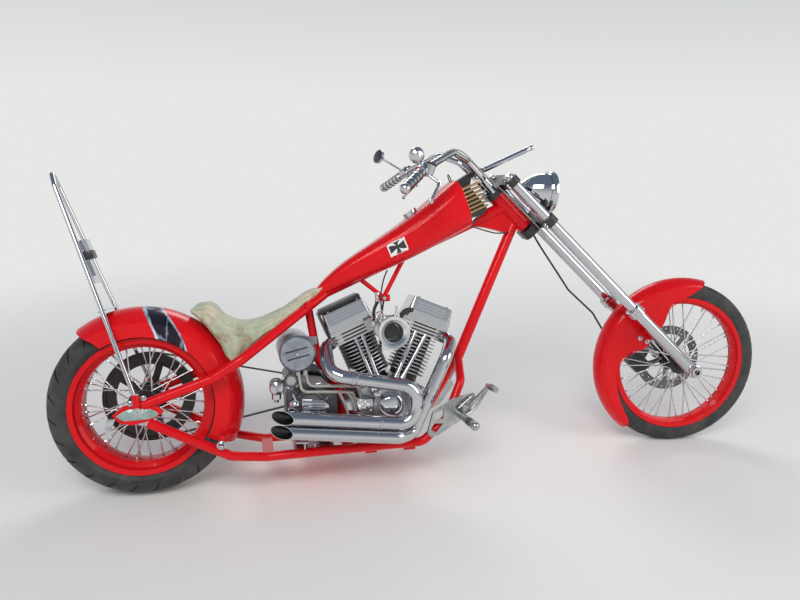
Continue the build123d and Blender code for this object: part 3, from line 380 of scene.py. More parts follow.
FINISH = {
    "red": red_paint(),
    "chrome": chrome(),
    "black": black_coat(),
    "dark_steel": cast("dark_steel", (0.20, 0.20, 0.21), 0.36),
    "aluminium": cast("bare_aluminium", (0.52, 0.52, 0.53), 0.30),
    "polished": chrome("polished_aluminium", (0.78, 0.78, 0.77), 0.10, 0.26),
    "forged": cast("forged_aluminium", (0.52, 0.53, 0.52), 0.28),
    "satin": cast("satin_grey", (0.42, 0.45, 0.50), 0.34),
    "tyre": rubber("tyre_rubber", (0.022, 0.022, 0.023), (0.085, 0.080, 0.070)),
    "rubber": rubber("line_rubber", (0.014, 0.014, 0.014), (0.05, 0.048, 0.045)),
    "braid": hose_braid(),
    "brass": chrome("brass", (0.56, 0.36, 0.17), 0.26, 0.46),
    "leather": leather(),
    "banded": fender_red(),
    "glass": glass(),
    "finned": finned_metal(),
    # the gearbox's dark grey is its cast metal darkened further to stand for the shade it sits in: partly
    # painted shade
    "gear_case_and_shade": cast("gear_case_and_shade", (0.17, 0.17, 0.18), 0.40),
    "pipes": pipe_chrome(),
    "mirror": material("mirror_glass", (0.10, 0.11, 0.13), 0.03, metallic=1.0),
    "red_lens": material("red_lens", (0.42, 0.008, 0.010), 0.15, coat=1.0),
    "white": decal_paint("white_decal", (0.86, 0.85, 0.82)),
    "dark": decal_paint("black_decal", (0.015, 0.015, 0.017)),
    "leaf": leaf_metal(),
    "rear_hub": wheel_hub("rear_hub_and_wires", REAR_AXLE, False, 0.056),
    "front_hub": wheel_hub("front_hub_and_wires", FRONT_AXLE, True, 0.046),
}

NODE_FINISH = {
    "banded": "rear_fender",
    "red": "rear_rim front_rim front_fender frame_neck frame_down_tube frame_rails "
           "frame_stays frame_cross tank",
    "chrome": "fork_legs headlamp handlebar bar_fittings side_stand rear_axle rocker_boxes "
              "pushrods primary_cover filler_cap sissy_bar tail_lamp ornament_tubes",
    "pipes": "exhausts",
    "finned": "cylinders",
    "black": "fork_trees front_caliper stand_bracket ornament_housing drive_pulley",
    "dark_steel": "front_disc",
    "aluminium": "engine_case",
    "gear_case_and_shade": "gearbox",
    "polished": "intake",
    "forged": "forward_controls",
    "satin": "oil_tank",
    "tyre": "rear_tyre front_tyre",
    "rubber": "drive_belt brake_line",
    "braid": "oil_hoses",
    "brass": "brass_rods",
    "leather": "seat",
    "rear_hub": "rear_hub",
    "front_hub": "front_hub",
}
for finish, names in NODE_FINISH.items():
    for name in names.split():
        slots = frame["nodes"][name].data.materials
        slots.clear()
        slots.append(FINISH[finish])


def mode(name):
    bpy.ops.object.mode_set(mode=name)


def deselect():
    if bpy.context.object and bpy.context.object.mode != "OBJECT":
        mode("OBJECT")
    bpy.ops.object.select_all(action="DESELECT")


def pick(piece):
    deselect()
    piece.select_set(True)
    bpy.context.view_layer.objects.active = piece


def bake(piece):
    pick(piece)
    bpy.ops.object.transform_apply(location=True, rotation=True, scale=True)


def edit_all(piece):
    # edit mode with everything selected
    pick(piece)
    mode("EDIT")
    bpy.ops.mesh.select_all(action="SELECT")


def face_outward():
    # ends edit mode with every face turned outward
    bpy.ops.mesh.select_all(action="SELECT")
    bpy.ops.mesh.normals_make_consistent(inside=False)
    mode("OBJECT")


def edit_faces(piece, chosen):
    # edit mode with only the chosen faces selected
    edit_all(piece)
    bpy.ops.mesh.select_mode(type="FACE")
    bpy.ops.mesh.select_all(action="DESELECT")
    mode("OBJECT")
    for face in piece.data.polygons:
        face.select = chosen(face)
    mode("EDIT")


def mesh_piece(name, points, faces):
    # a new mesh, left in edit mode with everything selected
    mesh = bpy.data.meshes.new(name)
    mesh.from_pydata(points, [], faces)
    made = bpy.data.objects.new(name, mesh)
    bpy.context.collection.objects.link(made)
    edit_all(made)
    return made


def apply(piece, kind, **values):
    # one modifier, set and applied
    pick(piece)
    modifier = piece.modifiers.new(kind.lower(), kind)
    for key, value in values.items():
        setattr(modifier, key, value)
    bpy.ops.object.modifier_apply(modifier=modifier.name)
    return piece


def joined(pieces):
    deselect()
    for piece in pieces:
        piece.select_set(True)
    bpy.context.view_layer.objects.active = pieces[0]
    if len(pieces) > 1:
        bpy.ops.object.join()
    return bpy.context.object


def settle(piece, name, finish, body="chassis", angle=35):
    # a finished piece: joined, named, leaned with its body, smoothed and given its finish
    if isinstance(piece, list):
        piece = joined(piece)
    bake(piece)
    piece.name = name
    piece.data.transform(STEERED if body in ON_FORK else BIKE)
    bpy.ops.object.shade_smooth_by_angle(angle=radians(angle))
    piece.data.materials.clear()
    piece.data.materials.append(FINISH[finish])
    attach(piece, body)
    return piece


def facing(way):
    return Vector(way).to_track_quat("Z", "Y")


def lathed(start, way, steps, sides=32, closed=True):
    # a ring pulled along way: each step is (distance from start, radius)
    deselect()
    start, way = spot(start), Vector(way).normalized()
    steps = [(at / 1000, radius / 1000) for at, radius in steps]
    bpy.ops.mesh.primitive_circle_add(vertices=sides, radius=steps[0][1],
                                      location=start + way * steps[0][0], rotation=facing(way).to_euler(),
                                      fill_type="NGON" if closed else "NOTHING")
    made = bpy.context.object
    mode("EDIT")
    bpy.ops.mesh.select_mode(type="VERT")
    bpy.ops.mesh.select_all(action="SELECT")
    for (at, radius), (to, wider) in zip(steps, steps[1:]):
        bpy.ops.mesh.extrude_region_move(TRANSFORM_OT_translate={"value": way * (to - at)})
        if abs(wider - radius) > 1e-6:
            bpy.ops.transform.resize(value=(wider / radius,) * 3, center_override=start + way * to)
    face_outward()
    return made


def between(start, end, radius, sides=16):
    # a round bar from start to end with rounded ends
    start, end = spot(start), spot(end)
    long = (end - start).length * 1000
    rounding = min(radius * 0.3, long / 3)
    return lathed(start, end - start, [(0, radius - rounding), (rounding, radius),
                                       (long - rounding, radius), (long, radius - rounding)], sides)


def ring(at, way, inner, outer, long, sides=24):
    # a band round an axis, its edges turned in
    lip = min(long * 0.25, 1.5)
    return lathed(at, way, [(0, inner), (0.2, outer - lip), (lip, outer), (long - lip, outer),
                            (long - 0.2, outer - lip), (long, inner)], sides, closed=False)


def block(centre, size, pitch=0, bevel=2):
    # a box with rounded edges, pitched about the bike's cross axis
    deselect()
    bpy.ops.mesh.primitive_cube_add(size=1, location=spot(centre), rotation=(0, radians(pitch), 0))
    made = bpy.context.object
    made.scale = mm(*size)
    bake(made)
    return apply(made, "BEVEL", width=bevel / 1000, segments=2, limit_method="ANGLE")


def plate(outline, y, thick, bevel=1.2):
    # a flat plate in the bike's side plane: outline of (x, z), y of its outer face
    made = mesh_piece("plate", [mm(x, y, z) for x, z in outline], [list(range(len(outline)))])
    bpy.ops.mesh.extrude_region_move(TRANSFORM_OT_translate={"value": mm(0, thick, 0)})
    face_outward()
    return apply(made, "BEVEL", width=bevel / 1000, segments=2, limit_method="ANGLE")


def line(points, radius):
    # a thin line along a smooth spline, as a mesh tube
    curve = bpy.data.curves.new("line", "CURVE")
    curve.dimensions = "3D"
    curve.bevel_depth = radius / 1000
    curve.bevel_resolution = 2
    curve.resolution_u = 6
    curve.use_fill_caps = True
    spline = curve.splines.new("NURBS")
    spline.points.add(len(points) - 1)
    for control, place in zip(spline.points, points):
        control.co = (*spot(place), 1)
    spline.order_u = 3
    spline.use_endpoint_u = True
    made = bpy.data.objects.new("line", curve)
    bpy.context.collection.objects.link(made)
    pick(made)
    bpy.ops.object.convert(target="MESH")
    return bpy.context.object


def copies(model, places):
    # twins of one piece that stands on the origin along z, at (place, way), all one mesh
    twins = []
    for place, way in places:
        twin = model.copy()
        twin.data = model.data.copy()
        bpy.context.collection.objects.link(twin)
        twin.matrix_world = Matrix.Translation(spot(place)) @ facing(way).to_matrix().to_4x4()
        twins.append(twin)
    bpy.data.objects.remove(model)
    for twin in twins:
        bake(twin)
    return joined(twins)


def acorn(radius, high):
    # a domed nut on its washer
    return lathed((0, 0, 0), UP, [(0, radius * 1.25), (high * 0.12, radius * 1.25), (high * 0.14, radius),
                                  (high * 0.5, radius), (high * 0.55, radius * 0.82),
                                  (high * 0.8, radius * 0.66), (high, radius * 0.2)], 12)


def hexagon(radius, high):
    # a hexagon screw head on a washer
    return joined([
        lathed((0, 0, 0), UP, [(high * 0.2, radius), (high * 0.85, radius), (high, radius * 0.85)], 6),
        lathed((0, 0, 0), UP, [(0, radius * 1.3), (high * 0.2, radius * 1.3)], 16)])


def socket_screw(radius, high):
    # a round screw head with its socket sunk in
    return lathed((0, 0, 0), UP, [(0, radius), (high * 0.8, radius), (high, radius * 0.85),
                                  (high, radius * 0.5), (high * 0.4, radius * 0.45)], 12)


# Tyres: crowned, with swept grooves sunk into the tread.
CROWN_STEPS = 22


def tread_tyre(name, centre, body, tyre_r, crown_r, shoulder_r, lip, bead, segments, sweep, groove):
    # lip and bead are (radius, y), groove is (every, first row, last row, inset, depth)
    every, first_row, last_row, inset, depth = groove
    ring_r = tyre_r - crown_r
    top = asin(sqrt(crown_r ** 2 - (shoulder_r - ring_r) ** 2) / crown_r)
    # section of (y, radius), from bead to bead over the crown
    side_ring = [(-bead[1], bead[0]), (-lip[1], lip[0]), (-lip[1] - 3.5, lip[0] + 6)]
    turns = [top * (2 * k / CROWN_STEPS - 1) for k in range(CROWN_STEPS + 1)]
    crown = [(crown_r * sin(a), ring_r + crown_r * cos(a)) for a in turns]
    section = side_ring + crown + [(-y, r) for y, r in reversed(side_ring)]
    first, half, count = len(side_ring), CROWN_STEPS / 2, len(section)
    points, faces = [], []
    for s in range(segments):
        after = (s + 1) % segments
        for k, (y, r) in enumerate(section):
            share = abs(k - first - half) / half if first <= k <= first + CROWN_STEPS else 0.0
            turn = 2 * pi * (s + sweep * share ** 1.3) / segments
            points.append(centre + mm(r * cos(turn), y, r * sin(turn)))
            onward = (k + 1) % count
            faces.append((s * count + k, s * count + onward, after * count + onward, after * count + k))
    made = mesh_piece(name, points, faces)
    face_outward()

    def grooved(face):
        s, k = divmod(face.index, count)
        row = k - first
        if row >= half:
            s, row = s + every // 2, CROWN_STEPS - 1 - row
        return first_row <= row <= last_row and s % every == 0

    edit_faces(made, grooved)
    bpy.ops.mesh.inset(thickness=inset / 1000, depth=0)
    bpy.ops.mesh.extrude_region_move()
    bpy.ops.transform.shrink_fatten(value=-depth / 1000)
    mode("OBJECT")
    return settle(made, name, "tyre", body, angle=40)


rear_tread = tread_tyre("rear_tread", REAR_AXLE, "rear_wheel", 327, 90, 262, (246.5, 77), (231.6, 74),
                        120, 3.2, (5, 2, 8, 2.2, 4.5))
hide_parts("rear_tyre")
front_tread = tread_tyre("front_tread", FRONT_AXLE, "front_wheel", 353.5, 42, 297, (290.5, 31.5),
                         (276.1, 30), 132, 2.4, (4, 3, 8, 1.2, 3.0))
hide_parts("front_tyre")

# The seat's sewn lines in the side plane: points (x, z), depth and half width.
SEWN = [
    ([(192, 662), (238, 668), (266, 640), (292, 614), (334, 592), (372, 588),
      (426, 600), (506, 636), (586, 690), (640, 722)], 2.8, 4.0),
    ([(206, 650), (244, 640), (276, 606), (310, 578), (352, 566), (398, 568),
      (450, 592), (520, 632), (590, 676)], 1.6, 3.5),
    ([(300, 580), (306, 540), (316, 490)], 2.0, 5.0),
    ([(252, 630), (286, 580), (300, 530)], 1.8, 6.0),
]
MOST_SWELL = 0.006
CLOTH_FRAMES = 20


def sewn_depth(here):
    # how far the sewing pulls the cover in at (x, z)
    sink = 0.0
    for points, depth, half in SEWN:
        for start, end in zip(points, points[1:]):
            off = here - Vector(start)
            run = Vector(end) - Vector(start)
            off -= run * max(0.0, min(1.0, off.dot(run) / run.length_squared))
            if off.length < half * 2.5:
                sink = max(sink, depth * exp(-(off.length / half) ** 2))
    return sink


def padded_seat():
    # a padded saddle grown from its CAD solid, with the sewn lines pressed in
    solid = frame["nodes"]["seat"]
    deselect()
    piece = solid.copy()
    piece.data = solid.data.copy()
    piece.parent = None
    bpy.context.collection.objects.link(piece)
    piece.matrix_world = Matrix.Identity(4)
    piece.data.transform(BIKE.inverted())
    edit_all(piece)
    bpy.ops.mesh.remove_doubles(threshold=0.0002)
    face_outward()
    apply(piece, "REMESH", mode="VOXEL", voxel_size=0.005)
    apply(piece, "SMOOTH", factor=0.6, iterations=8)
    start = [vertex.co.copy() for vertex in piece.data.vertices]
    cloth = piece.modifiers.new("cloth", "CLOTH")
    cloth.settings.use_pressure = True
    cloth.settings.uniform_pressure_force = 4.0
    cloth.settings.effector_weights.gravity = 0
    cloth.settings.tension_stiffness = 25
    cloth.settings.quality = 5
    for step in range(CLOTH_FRAMES):
        bpy.context.scene.frame_set(step + 1)
    pick(piece)
    bpy.ops.object.modifier_apply(modifier="cloth")
    bpy.context.scene.frame_set(1)
    for vertex, old in zip(piece.data.vertices, start):
        move = vertex.co - old
        if move.length > MOST_SWELL:
            vertex.co = old + move.normalized() * MOST_SWELL
    apply(piece, "SUBSURF", levels=1, render_levels=1)
    normals = [vertex.normal.copy() for vertex in piece.data.vertices]
    for vertex, normal in zip(piece.data.vertices, normals):
        if abs(vertex.co.y) >= 0.02:
            vertex.co -= normal * (sewn_depth(vertex.co.xz * 1000) / 1000)
    settle(piece, "padded_seat", "leather", "chassis", angle=80)
    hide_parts("seat")


padded_seat()


# Tank: the white square with its black cross, lying on the paint of each side.
def decal(name, outline, hand, finish, lift, cuts):
    # an outline in shares of the square's sides, wrapped onto the tank
    points = [mm(919 + 75.7 * a - 37.7 * b, hand * 200, 872.5 + 22.2 * a + 91.8 * b) for a, b in outline]
    made = mesh_piece(name, points, [list(range(len(points)))])
    bpy.ops.mesh.quads_convert_to_tris()
    bpy.ops.mesh.subdivide(number_cuts=cuts)
    mode("OBJECT")
    made.data.transform(BIKE)
    apply(made, "SHRINKWRAP", target=frame["nodes"]["tank"], wrap_method="NEAREST_SURFACEPOINT",
          wrap_mode="ABOVE_SURFACE", offset=lift / 1000)
    made.data.transform(BIKE.inverted())
    edit_all(made)
    face_outward()
    if made.data.polygons[0].normal.y * hand < 0:
        edit_all(made)
        bpy.ops.mesh.flip_normals()
        mode("OBJECT")
    settle(made, name, finish, "chassis", angle=60)


SIDES = ((-1, "right"), (1, "left"))
SQUARE = [(-0.5, -0.5), (0.5, -0.5), (0.5, 0.5), (-0.5, 0.5)]
ARM = [(-0.055, 0.055), (-0.105, 0.20), (-0.20, 0.43), (0.20, 0.43), (0.105, 0.20), (0.055, 0.055)]
CROSS = []
for quarter in range(4):
    turn = radians(-90 * quarter)
    for a, b in ARM:
        CROSS.append((a * cos(turn) - b * sin(turn), a * sin(turn) + b * cos(turn)))
for hand, side in SIDES:
    decal("white_square_" + side, SQUARE, hand, "white", 0.6, 12)
    decal("black_cross_" + side, CROSS, hand, "dark", 1.1, 5)

# Leaf-shaped inlay on each axle plate.
LEAF = [(-73, 321), (-50, 334), (-28, 342), (34, 340), (54, 332), (68, 320), (54, 311), (36, 304),
        (-45, 302), (-60, 310)]
for hand, side in SIDES:
    settle(plate(LEAF, hand * 161.2, hand * 1.5, 0.6), "leaf_inlay_" + side, "leaf")
    settle(line([(x * 1.03, hand * 162.2, 322 + (z - 322) * 1.10) for x, z in LEAF + LEAF[:2]], 1.4),
           "leaf_edge_" + side, "red")

# Headlamp: rim, domed glass, its screws and the yoke that carries it.
LAMP_BACK = Vector((1.45396, 0, 1.10237))
LAMP_WAY = Vector((cos(radians(4)), 0, -sin(radians(4))))
settle(lathed(LAMP_BACK, LAMP_WAY, [(122, 78.8), (122.5, 84.2), (127, 86.2), (140, 86.2), (148, 83.5),
                                    (151, 79), (149, 76.2), (144, 75.8)], 56),
       "headlamp_rim", "chrome", "fork")
settle(lathed(LAMP_BACK, LAMP_WAY, [(149, 75.5), (154.5, 66), (159.5, 46), (162, 24), (162.5, 6)], 56),
       "headlamp_glass", "glass", "fork", angle=60)
settle(copies(socket_screw(4.5, 6), [(LAMP_BACK + LAMP_WAY * 0.135 + way * 0.0862, way)
                                     for way in (-UP, SIDE, -SIDE)]), "headlamp_screws", "chrome", "fork")
yoke = [between((1515, hand * 30, 1048), (1530, hand * 62, 1080), 8) for hand in HANDS]
settle(yoke + [between((1515, -36, 1046), (1515, 36, 1046), 12)], "headlamp_yoke", "black", "fork")

# Front axle nuts and the bolts that clamp the fork.
settle([lathed(along(0, hand * 152), SIDE * hand, [(0, 26), (4, 27), (12, 27), (13.5, 23), (20, 21),
                                                   (21, 12), (12, 9.5)], 24, closed=False)
        for hand in HANDS], "front_axle_caps", "chrome", "fork")
settle(copies(hexagon(6, 7), [(along(t, hand * LEG_Y, -24.5), -AHEAD) for hand in HANDS
                              for t in (12, -12)]), "axle_pinch_bolts", "chrome", "fork")
settle(copies(hexagon(7.5, 8), [(along(t, hand * 150, -26), -AHEAD) for hand in HANDS
                                for t in (892, 904, 1106, 1118)]), "fork_clamp_bolts", "chrome", "fork")
settle([lathed(along(t, hand * LEG_Y), LEG, [(0, 30.5), (1.2, radius), (5, radius), (6.2, 30.5)], 32,
               closed=False) for hand in HANDS for t, radius in ((350, 32.6), (364, 32.4), (380, 32.2))],
       "fork_collar_rings", "chrome", "fork")
settle(copies(acorn(8.5, 14), [(along(t, hand * 52.5, f), SIDE * hand) for hand in HANDS
                               for t, f in ((226.2, -47.1), (192.2, -36.2))]),
       "front_fender_nuts", "chrome", "fork")
settle(lathed(along(1126, 0, -60), LEG, [(0, 26), (6, 26), (8, 20), (18, 20), (22, 12)], 24),
       "stem_nut", "chrome", "fork")

# Rear axle plates: acorn nuts, the rail's domed nut and the hanging tab.
settle(copies(acorn(7.5, 12), mirrored((-23.5, 164, 362), (20, 164, 378))), "axle_plate_nuts", "chrome")
settle(copies(acorn(13, 22), mirrored((270, 172, 196))), "rail_nuts", "chrome")
settle([plate([(-106, 288), (-86, 286), (-87, 243), (-107, 245)], -158, 4),
        plate([(-100, 312), (-72, 312), (-86, 284), (-104, 284)], -160, 5)], "hanging_tab", "chrome")


# Ornament: perforated jackets on the twin tubes, sight loops, brass tips.
def jacket(start, end, radius, rings, around):
    # a tube whose wall is pierced all round
    long, way = (end - start).length, (end - start).normalized()
    steps = [(long * 1000 * k / rings, radius) for k in range(1, rings)]
    made = lathed(start, way, [(0, radius * 0.9)] + steps + [(long * 1000, radius * 0.9)], around,
                  closed=False)
    across = way.orthogonal().normalized()

    def pierced(face):
        off = face.center - start
        place = off.dot(way) / long * rings
        turn = atan2(off.dot(way.cross(across)), off.dot(across)) / (2 * pi)
        return 1 <= place <= rings - 1 and int(place) % 2 == 1 and int((turn + 1) * around + 0.25) % 2 == 0

    edit_faces(made, pierced)
    bpy.ops.mesh.inset(thickness=0.0009)
    bpy.ops.mesh.delete(type="FACE")
    mode("OBJECT")
    return apply(made, "SOLIDIFY", thickness=0.0016, offset=-1)


jackets, cores, muzzles = [], [], []
for hand in HANDS:
    low, high = near_neck(-134, 158, hand * 17), near_neck(94, 259, hand * 17)
    way = (high - low).normalized()
    jackets.append(jacket(low + way * 0.012, high - way * 0.022, 10.8, 24, 12))
    cores.append(between(low, high - way * 0.006, 6.2))
    muzzles.append(lathed(high - way * 0.022, way, [(0, 9.5), (4, 11.2), (16, 11.2), (21, 9.8),
                                                    (21.2, 5.5), (8, 5)], 20))
settle(jackets, "perforated_jackets", "chrome")
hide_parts("ornament_tubes")
settle(cores, "ornament_cores", "dark_steel")
settle(muzzles, "ornament_ends", "chrome")
settle([line([near_neck(x + dx, z + share * high, hand * y)
              for dx, y, share in ((0, 6, 0), (-6, 12, 0.5), (-12, 10, 0.9), (-14, 0, 1))], 2.4)
        for x, z, high in ((-250, 104, 42), (-172, 168, 46)) for hand in HANDS], "sight_loops", "black")
ROD_WAY = Vector((60, 0, 26)).normalized()
tips, rims = [], []
for k in range(7):
    low = near_neck(-228 + 34 * k / 6, 79 - 88 * k / 6, -73)
    tips.append(lathed(low + ROD_WAY * 0.0645, ROD_WAY, [(0, 4.6), (4, 4.6), (10, 3), (13, 1)], 16))
    rims.append(lathed(low - ROD_WAY * 0.002, ROD_WAY, [(0, 5), (1.5, 5.8), (4, 5.8), (5.2, 4.8)], 16))
settle(tips, "brass_tips", "brass")
settle(rims, "brass_rims", "brass")
settle(copies(socket_screw(4.5, 5), [(near_neck(x, z, hand * 68), SIDE * hand) for hand in HANDS
                                     for x, z in ((-244, 88), (-190, 80), (-134, 6), (-190, -24))]),
       "ornament_screws", "dark_steel")

# Carburettor: throat, top fittings, bolts of the horn plate and the strut's mount.
settle(lathed((886, -163, 568), SIDE, [(0, 29.3), (2, 29.3)]), "throat_plate", "black")
settle([lathed((866, -104, 598), UP, [(0, 21), (10, 21), (12, 17), (20, 17), (22, 12.5), (31, 12.5),
                                      (34, 8)], 20),
        lathed((922, -104, 598), UP, [(0, 18), (13, 18), (16, 13), (28, 13), (30, 5.5), (56, 5),
                                      (58, 3)], 20),
        block((893, -104, 607), (70, 30, 16)),
        lathed((846, -112, 606), -SIDE, [(0, 9), (14, 9), (18, 6)], 12),
        between((846, -118, 606), (838, -122, 636), 3.5),
        between((838, -122, 634), (868, -120, 642), 2.5),
        lathed((862, -30, 664), UP, [(0, 10), (14, 10), (16, 7.5), (30, 7.5), (34, 10), (42, 9)], 16)],
       "carburettor_top", "polished")
settle([line([(926, -70, 590), (948, -78, 622), (972, -74, 640), (996, -60, 634)], 10),
        line([(846, -40, 598), (840, -62, 622), (846, -60, 652), (862, -40, 668)], 6)],
       "breather_elbows", "rubber")
settle(line([(866, -104, 626), (862, -100, 662), (872, -64, 714), (892, -36, 770), (905, -30, 790)], 2.8),
       "throttle_cable", "rubber")
settle(copies(acorn(8, 10), [((x, -160, z), -SIDE) for x, z in ((822, 596), (956, 597), (870, 524))]),
       "horn_plate_bolts", "chrome")
settle(copies(hexagon(9, 9), mirrored((894, 15, 682))), "strut_mount_bolts", "chrome")

# Engine: domed cam cover, oil pump, tappet blocks, pushrod collars, black tops on the rocker boxes, plugs
# and leads.
settle(lathed((892, -111, 285), -SIDE, [(0, 48.5), (22, 47.5), (27, 43), (32, 34), (35, 22),
                                        (36.2, 10)], 40), "cam_dome", "chrome")
settle(copies(socket_screw(4.5, 5), [((x, -112, z), -SIDE) for x, z in (
    (846, 190), (868, 160), (946, 168), (976, 214), (968, 290), (926, 340), (858, 342), (832, 288))]),
       "case_screws", "chrome")
settle(lathed((838, -110, 328), -SIDE, [(0, 19), (12, 18.6), (17, 15), (20, 8), (20.5, 3)], 32),
       "breather_dome", "chrome")
settle([block((790, -98, 286), (60, 44, 52), 0, 4), block((778, -120, 276), (30, 10, 26), 0, 3),
        lathed((800, -118, 292), -SIDE, [(0, 13), (7, 13), (10, 9.5)], 24)], "oil_pump", "polished")
settle(copies(hexagon(4.2, 4), [((790 + dx, -120, 286 + dz), -SIDE)
                                for dx, dz in ((-24, 20), (24, 20), (24, -20), (-2, -21))]),
       "oil_pump_bolts", "chrome")
settle([block((846, -94, 350), (56, 34, 30), -12), block((912, -94, 347), (56, 34, 30), 12)],
       "tappet_blocks", "polished")
BARREL_END, HEAD_END, ROCKER_END = 338, 386, 466
collars = []
for foot_x, foot_z, tilt, shift in ((838, 352, -BANK, -5), (858, 352, -BANK, 24),
                                    (900, 350, BANK, -30), (921, 345, BANK, 12)):
    foot = mm(foot_x, -94, foot_z)
    run = on_bank(tilt, shift, -62, BARREL_END + 2) - foot
    reach = run.length * 1000
    run.normalize()
    for at, radius, long in ((10, 12.5, 12), (24, 10.5, 30), (reach * 0.56, 9.8, 10),
                             (reach - 22, 10.8, 14)):
        collars.append(ring(foot + run * (at / 1000), run, 7.5, radius, long, 16))
settle(collars, "pushrod_collars", "chrome")
# thin black sheets over both rocker-box tops; the rear box also gets a thicker black top and a black plate
# down its rear end
black_tops, top_bolts, plugs, leads = [], [], [], []
for tilt, bolt_ys in ((-BANK, (-46,)), (BANK, (-47, 47))):
    black_tops.append(block(on_bank(tilt, 0, 0, ROCKER_END + 0.5), (156, 112, 2.5), tilt, 0.8))
    up = (on_bank(tilt, 0, 0, 1000) - CRANK).normalized()
    top_bolts += [(on_bank(tilt, x, y, ROCKER_END + 1.5), up) for x in (-60, 60) for y in bolt_ys]
    plug = on_bank(tilt, 0, 66, HEAD_END - 22)
    way = (SIDE + up * 0.5).normalized()
    plugs.append(lathed(plug, way, [(0, 9.5), (8, 9.5), (10, 6), (18, 6), (20, 8.5), (40, 8),
                                    (44, 5)], 12))
    leads.append(line([plug + way * 0.040, plug + way * 0.062, plug + way * 0.070 + up * 0.03,
                       (903, 100, 590), (903, 70, 640), (900, 30, 668)], 3.8))
black_tops += [block(on_bank(-BANK, -4, 12, ROCKER_END + 10), (168, 92, 20), -BANK, 4),
         block(on_bank(-BANK, -92.5, 14, 424), (7, 94, 104), -BANK, 2)]
settle(black_tops, "rocker_box_black_tops", "black")
settle(copies(hexagon(5.5, 6), top_bolts), "rocker_box_bolts", "chrome")
settle(plugs, "spark_plug_caps", "rubber")
settle(leads, "plug_leads", "rubber")

# Beside the gearbox: oil filter housing, starter end, linkage, ribbed cover, hoses.
settle([lathed((467, -126, 378), -SIDE, [(0, 26.2), (10, 26.2), (15.5, 22.5), (19.5, 12), (20.5, 8)], 28),
        ring((467, -144, 378), -SIDE, 4, 7.5, 6, 16),
        lathed((466, -106, 320), UP, [(0, 8), (10, 10), (12, 17), (34, 18), (38, 13), (48, 13)], 20),
        lathed((465, -112, 399), -SIDE, [(0, 6.5), (8, 6.5), (11, 4)], 12),
        lathed((531, -92, 308), -SIDE, [(0, 26), (24, 26), (28, 22), (32, 22), (34, 15), (44, 13),
                                        (47, 8)], 6),
        lathed((517, -92, 292), -SIDE, [(0, 13), (36, 13), (40, 9)], 12),
        lathed((548, -92, 286), -SIDE, [(0, 12), (30, 12), (34, 8)], 12),
        between((534, -124, 322), (524, -120, 350), 3.5)], "gearbox_fittings", "chrome")
settle(plate([(485, 409), (511, 358), (549, 373), (525, 424)], -103.5, 8, 2), "starter_flange", "polished")
settle(ring((520, -109, 396), SIDE, 18, 26.5, 7, 28), "starter_seal", "rubber")
settle(lathed((520, -111.5, 396), SIDE, [(0, 16.5), (1.2, 17.8), (4, 17.8)], 28),
       "starter_cap", "aluminium")
settle([plate([(556, 330), (632, 323), (654, 300), (650, 268), (554, 272)], -134, 10, 3)]
       + [between((560, -134, 322 - 13 * k), (640, -134, 314 - 12 * k), 3.5, 12) for k in range(4)]
       + [between((642, -132, 322), (652, -134, 334), 3)], "ribbed_cover", "chrome")
settle([between((581, -112, 378), (651, -112, 373), 5.2), between((600, -112, 376), (628, -112, 382), 4),
        lathed((651, -108, 373), -SIDE, [(0, 8.5), (9, 8.5), (12, 5)], 12)], "shift_link", "polished")
settle([line([(640, -104, 366), (676, -118, 356), (700, -122, 330), (704, -118, 300)], 7.5),
        line([(530, -104, 372), (548, -112, 352), (560, -112, 340)], 6)], "breather_hoses", "rubber")
settle([line([(690, -141, 350), (704, -140, 322), (716, -136, 292), (724, -130, 258)], 5.5),
        line([(716, -136, 350), (736, -132, 330), (748, -126, 300), (752, -122, 272)], 5.5)],
       "drain_lines", "braid")
settle([lathed((x, -110, 433), (0.03, -0.15, -1), [(0, 9), (4, 9), (5, 7.8), (18, 7.8), (19, 7)], 6)
        for x in (545, 571)], "hose_ferrules", "chrome")
settle([between((528, -150, 177), (574, -150, 174), 5.5), between((560, -148, 174), (562, -130, 140), 5),
        between((596, -150, 168), (598, -128, 142), 6)], "rail_clips", "chrome")

# Oil drum: black strips in its two pressed grooves as painted shade, and the bolt between them.
DRUM_PITCH = -13
pitch = radians(DRUM_PITCH)
settle([block((545 + lift * sin(pitch), -129.4, 497 + lift * cos(pitch)), (82, 1, 5.2),
              DRUM_PITCH, 0.3) for lift in (-14, 14)], "drum_groove_shade", "black")
settle(copies(hexagon(6.5, 5), [((545, -138, 497), -SIDE)]), "drum_bolt", "chrome")

# Exhaust clamps.
settle([ring((728, -205, 409), (318, 0, -61), 24.6, 28, 12, 36),
        ring((744, -205, 406), (318, 0, -61), 24.6, 26.8, 5, 36),
        ring((834, -205, 240.4), (-1, 0, TAIL_RISE), 24.6, 27.2, 8, 36),
        block((733, -205, 439), (20, 16, 10), 11)], "exhaust_clamps", "chrome")

# Wire wheels: nipples where the spokes meet the rims.
SPOKES = 20
for name, centre, lacing, end_r, end_y, flange_r, flange_y, body in (
        ("rear_nipples", REAR_AXLE, 34, 207.5, 12, 48, 46, "rear_wheel"),
        ("front_nipples", FRONT_AXLE, 38, 260, 5, 38, 36, "front_wheel")):
    places = []
    for hand in HANDS:
        for k in range(SPOKES):
            swing = 1 if k % 2 else -1
            a = radians(360.0 / SPOKES * (k + 0.25 * hand))
            b = a + radians(lacing * swing)
            inner = mm(cos(a) * flange_r, hand * (flange_y + 3.2 * swing), sin(a) * flange_r)
            outer = mm(cos(b) * end_r, hand * end_y, sin(b) * end_r)
            way = (outer - inner).normalized()
            places.append((centre + outer - way * 0.0145, way))
    settle(copies(lathed((0, 0, 0), UP, [(0, 3), (2, 3.6), (14, 3.6)], 8), places), name, "chrome", body)

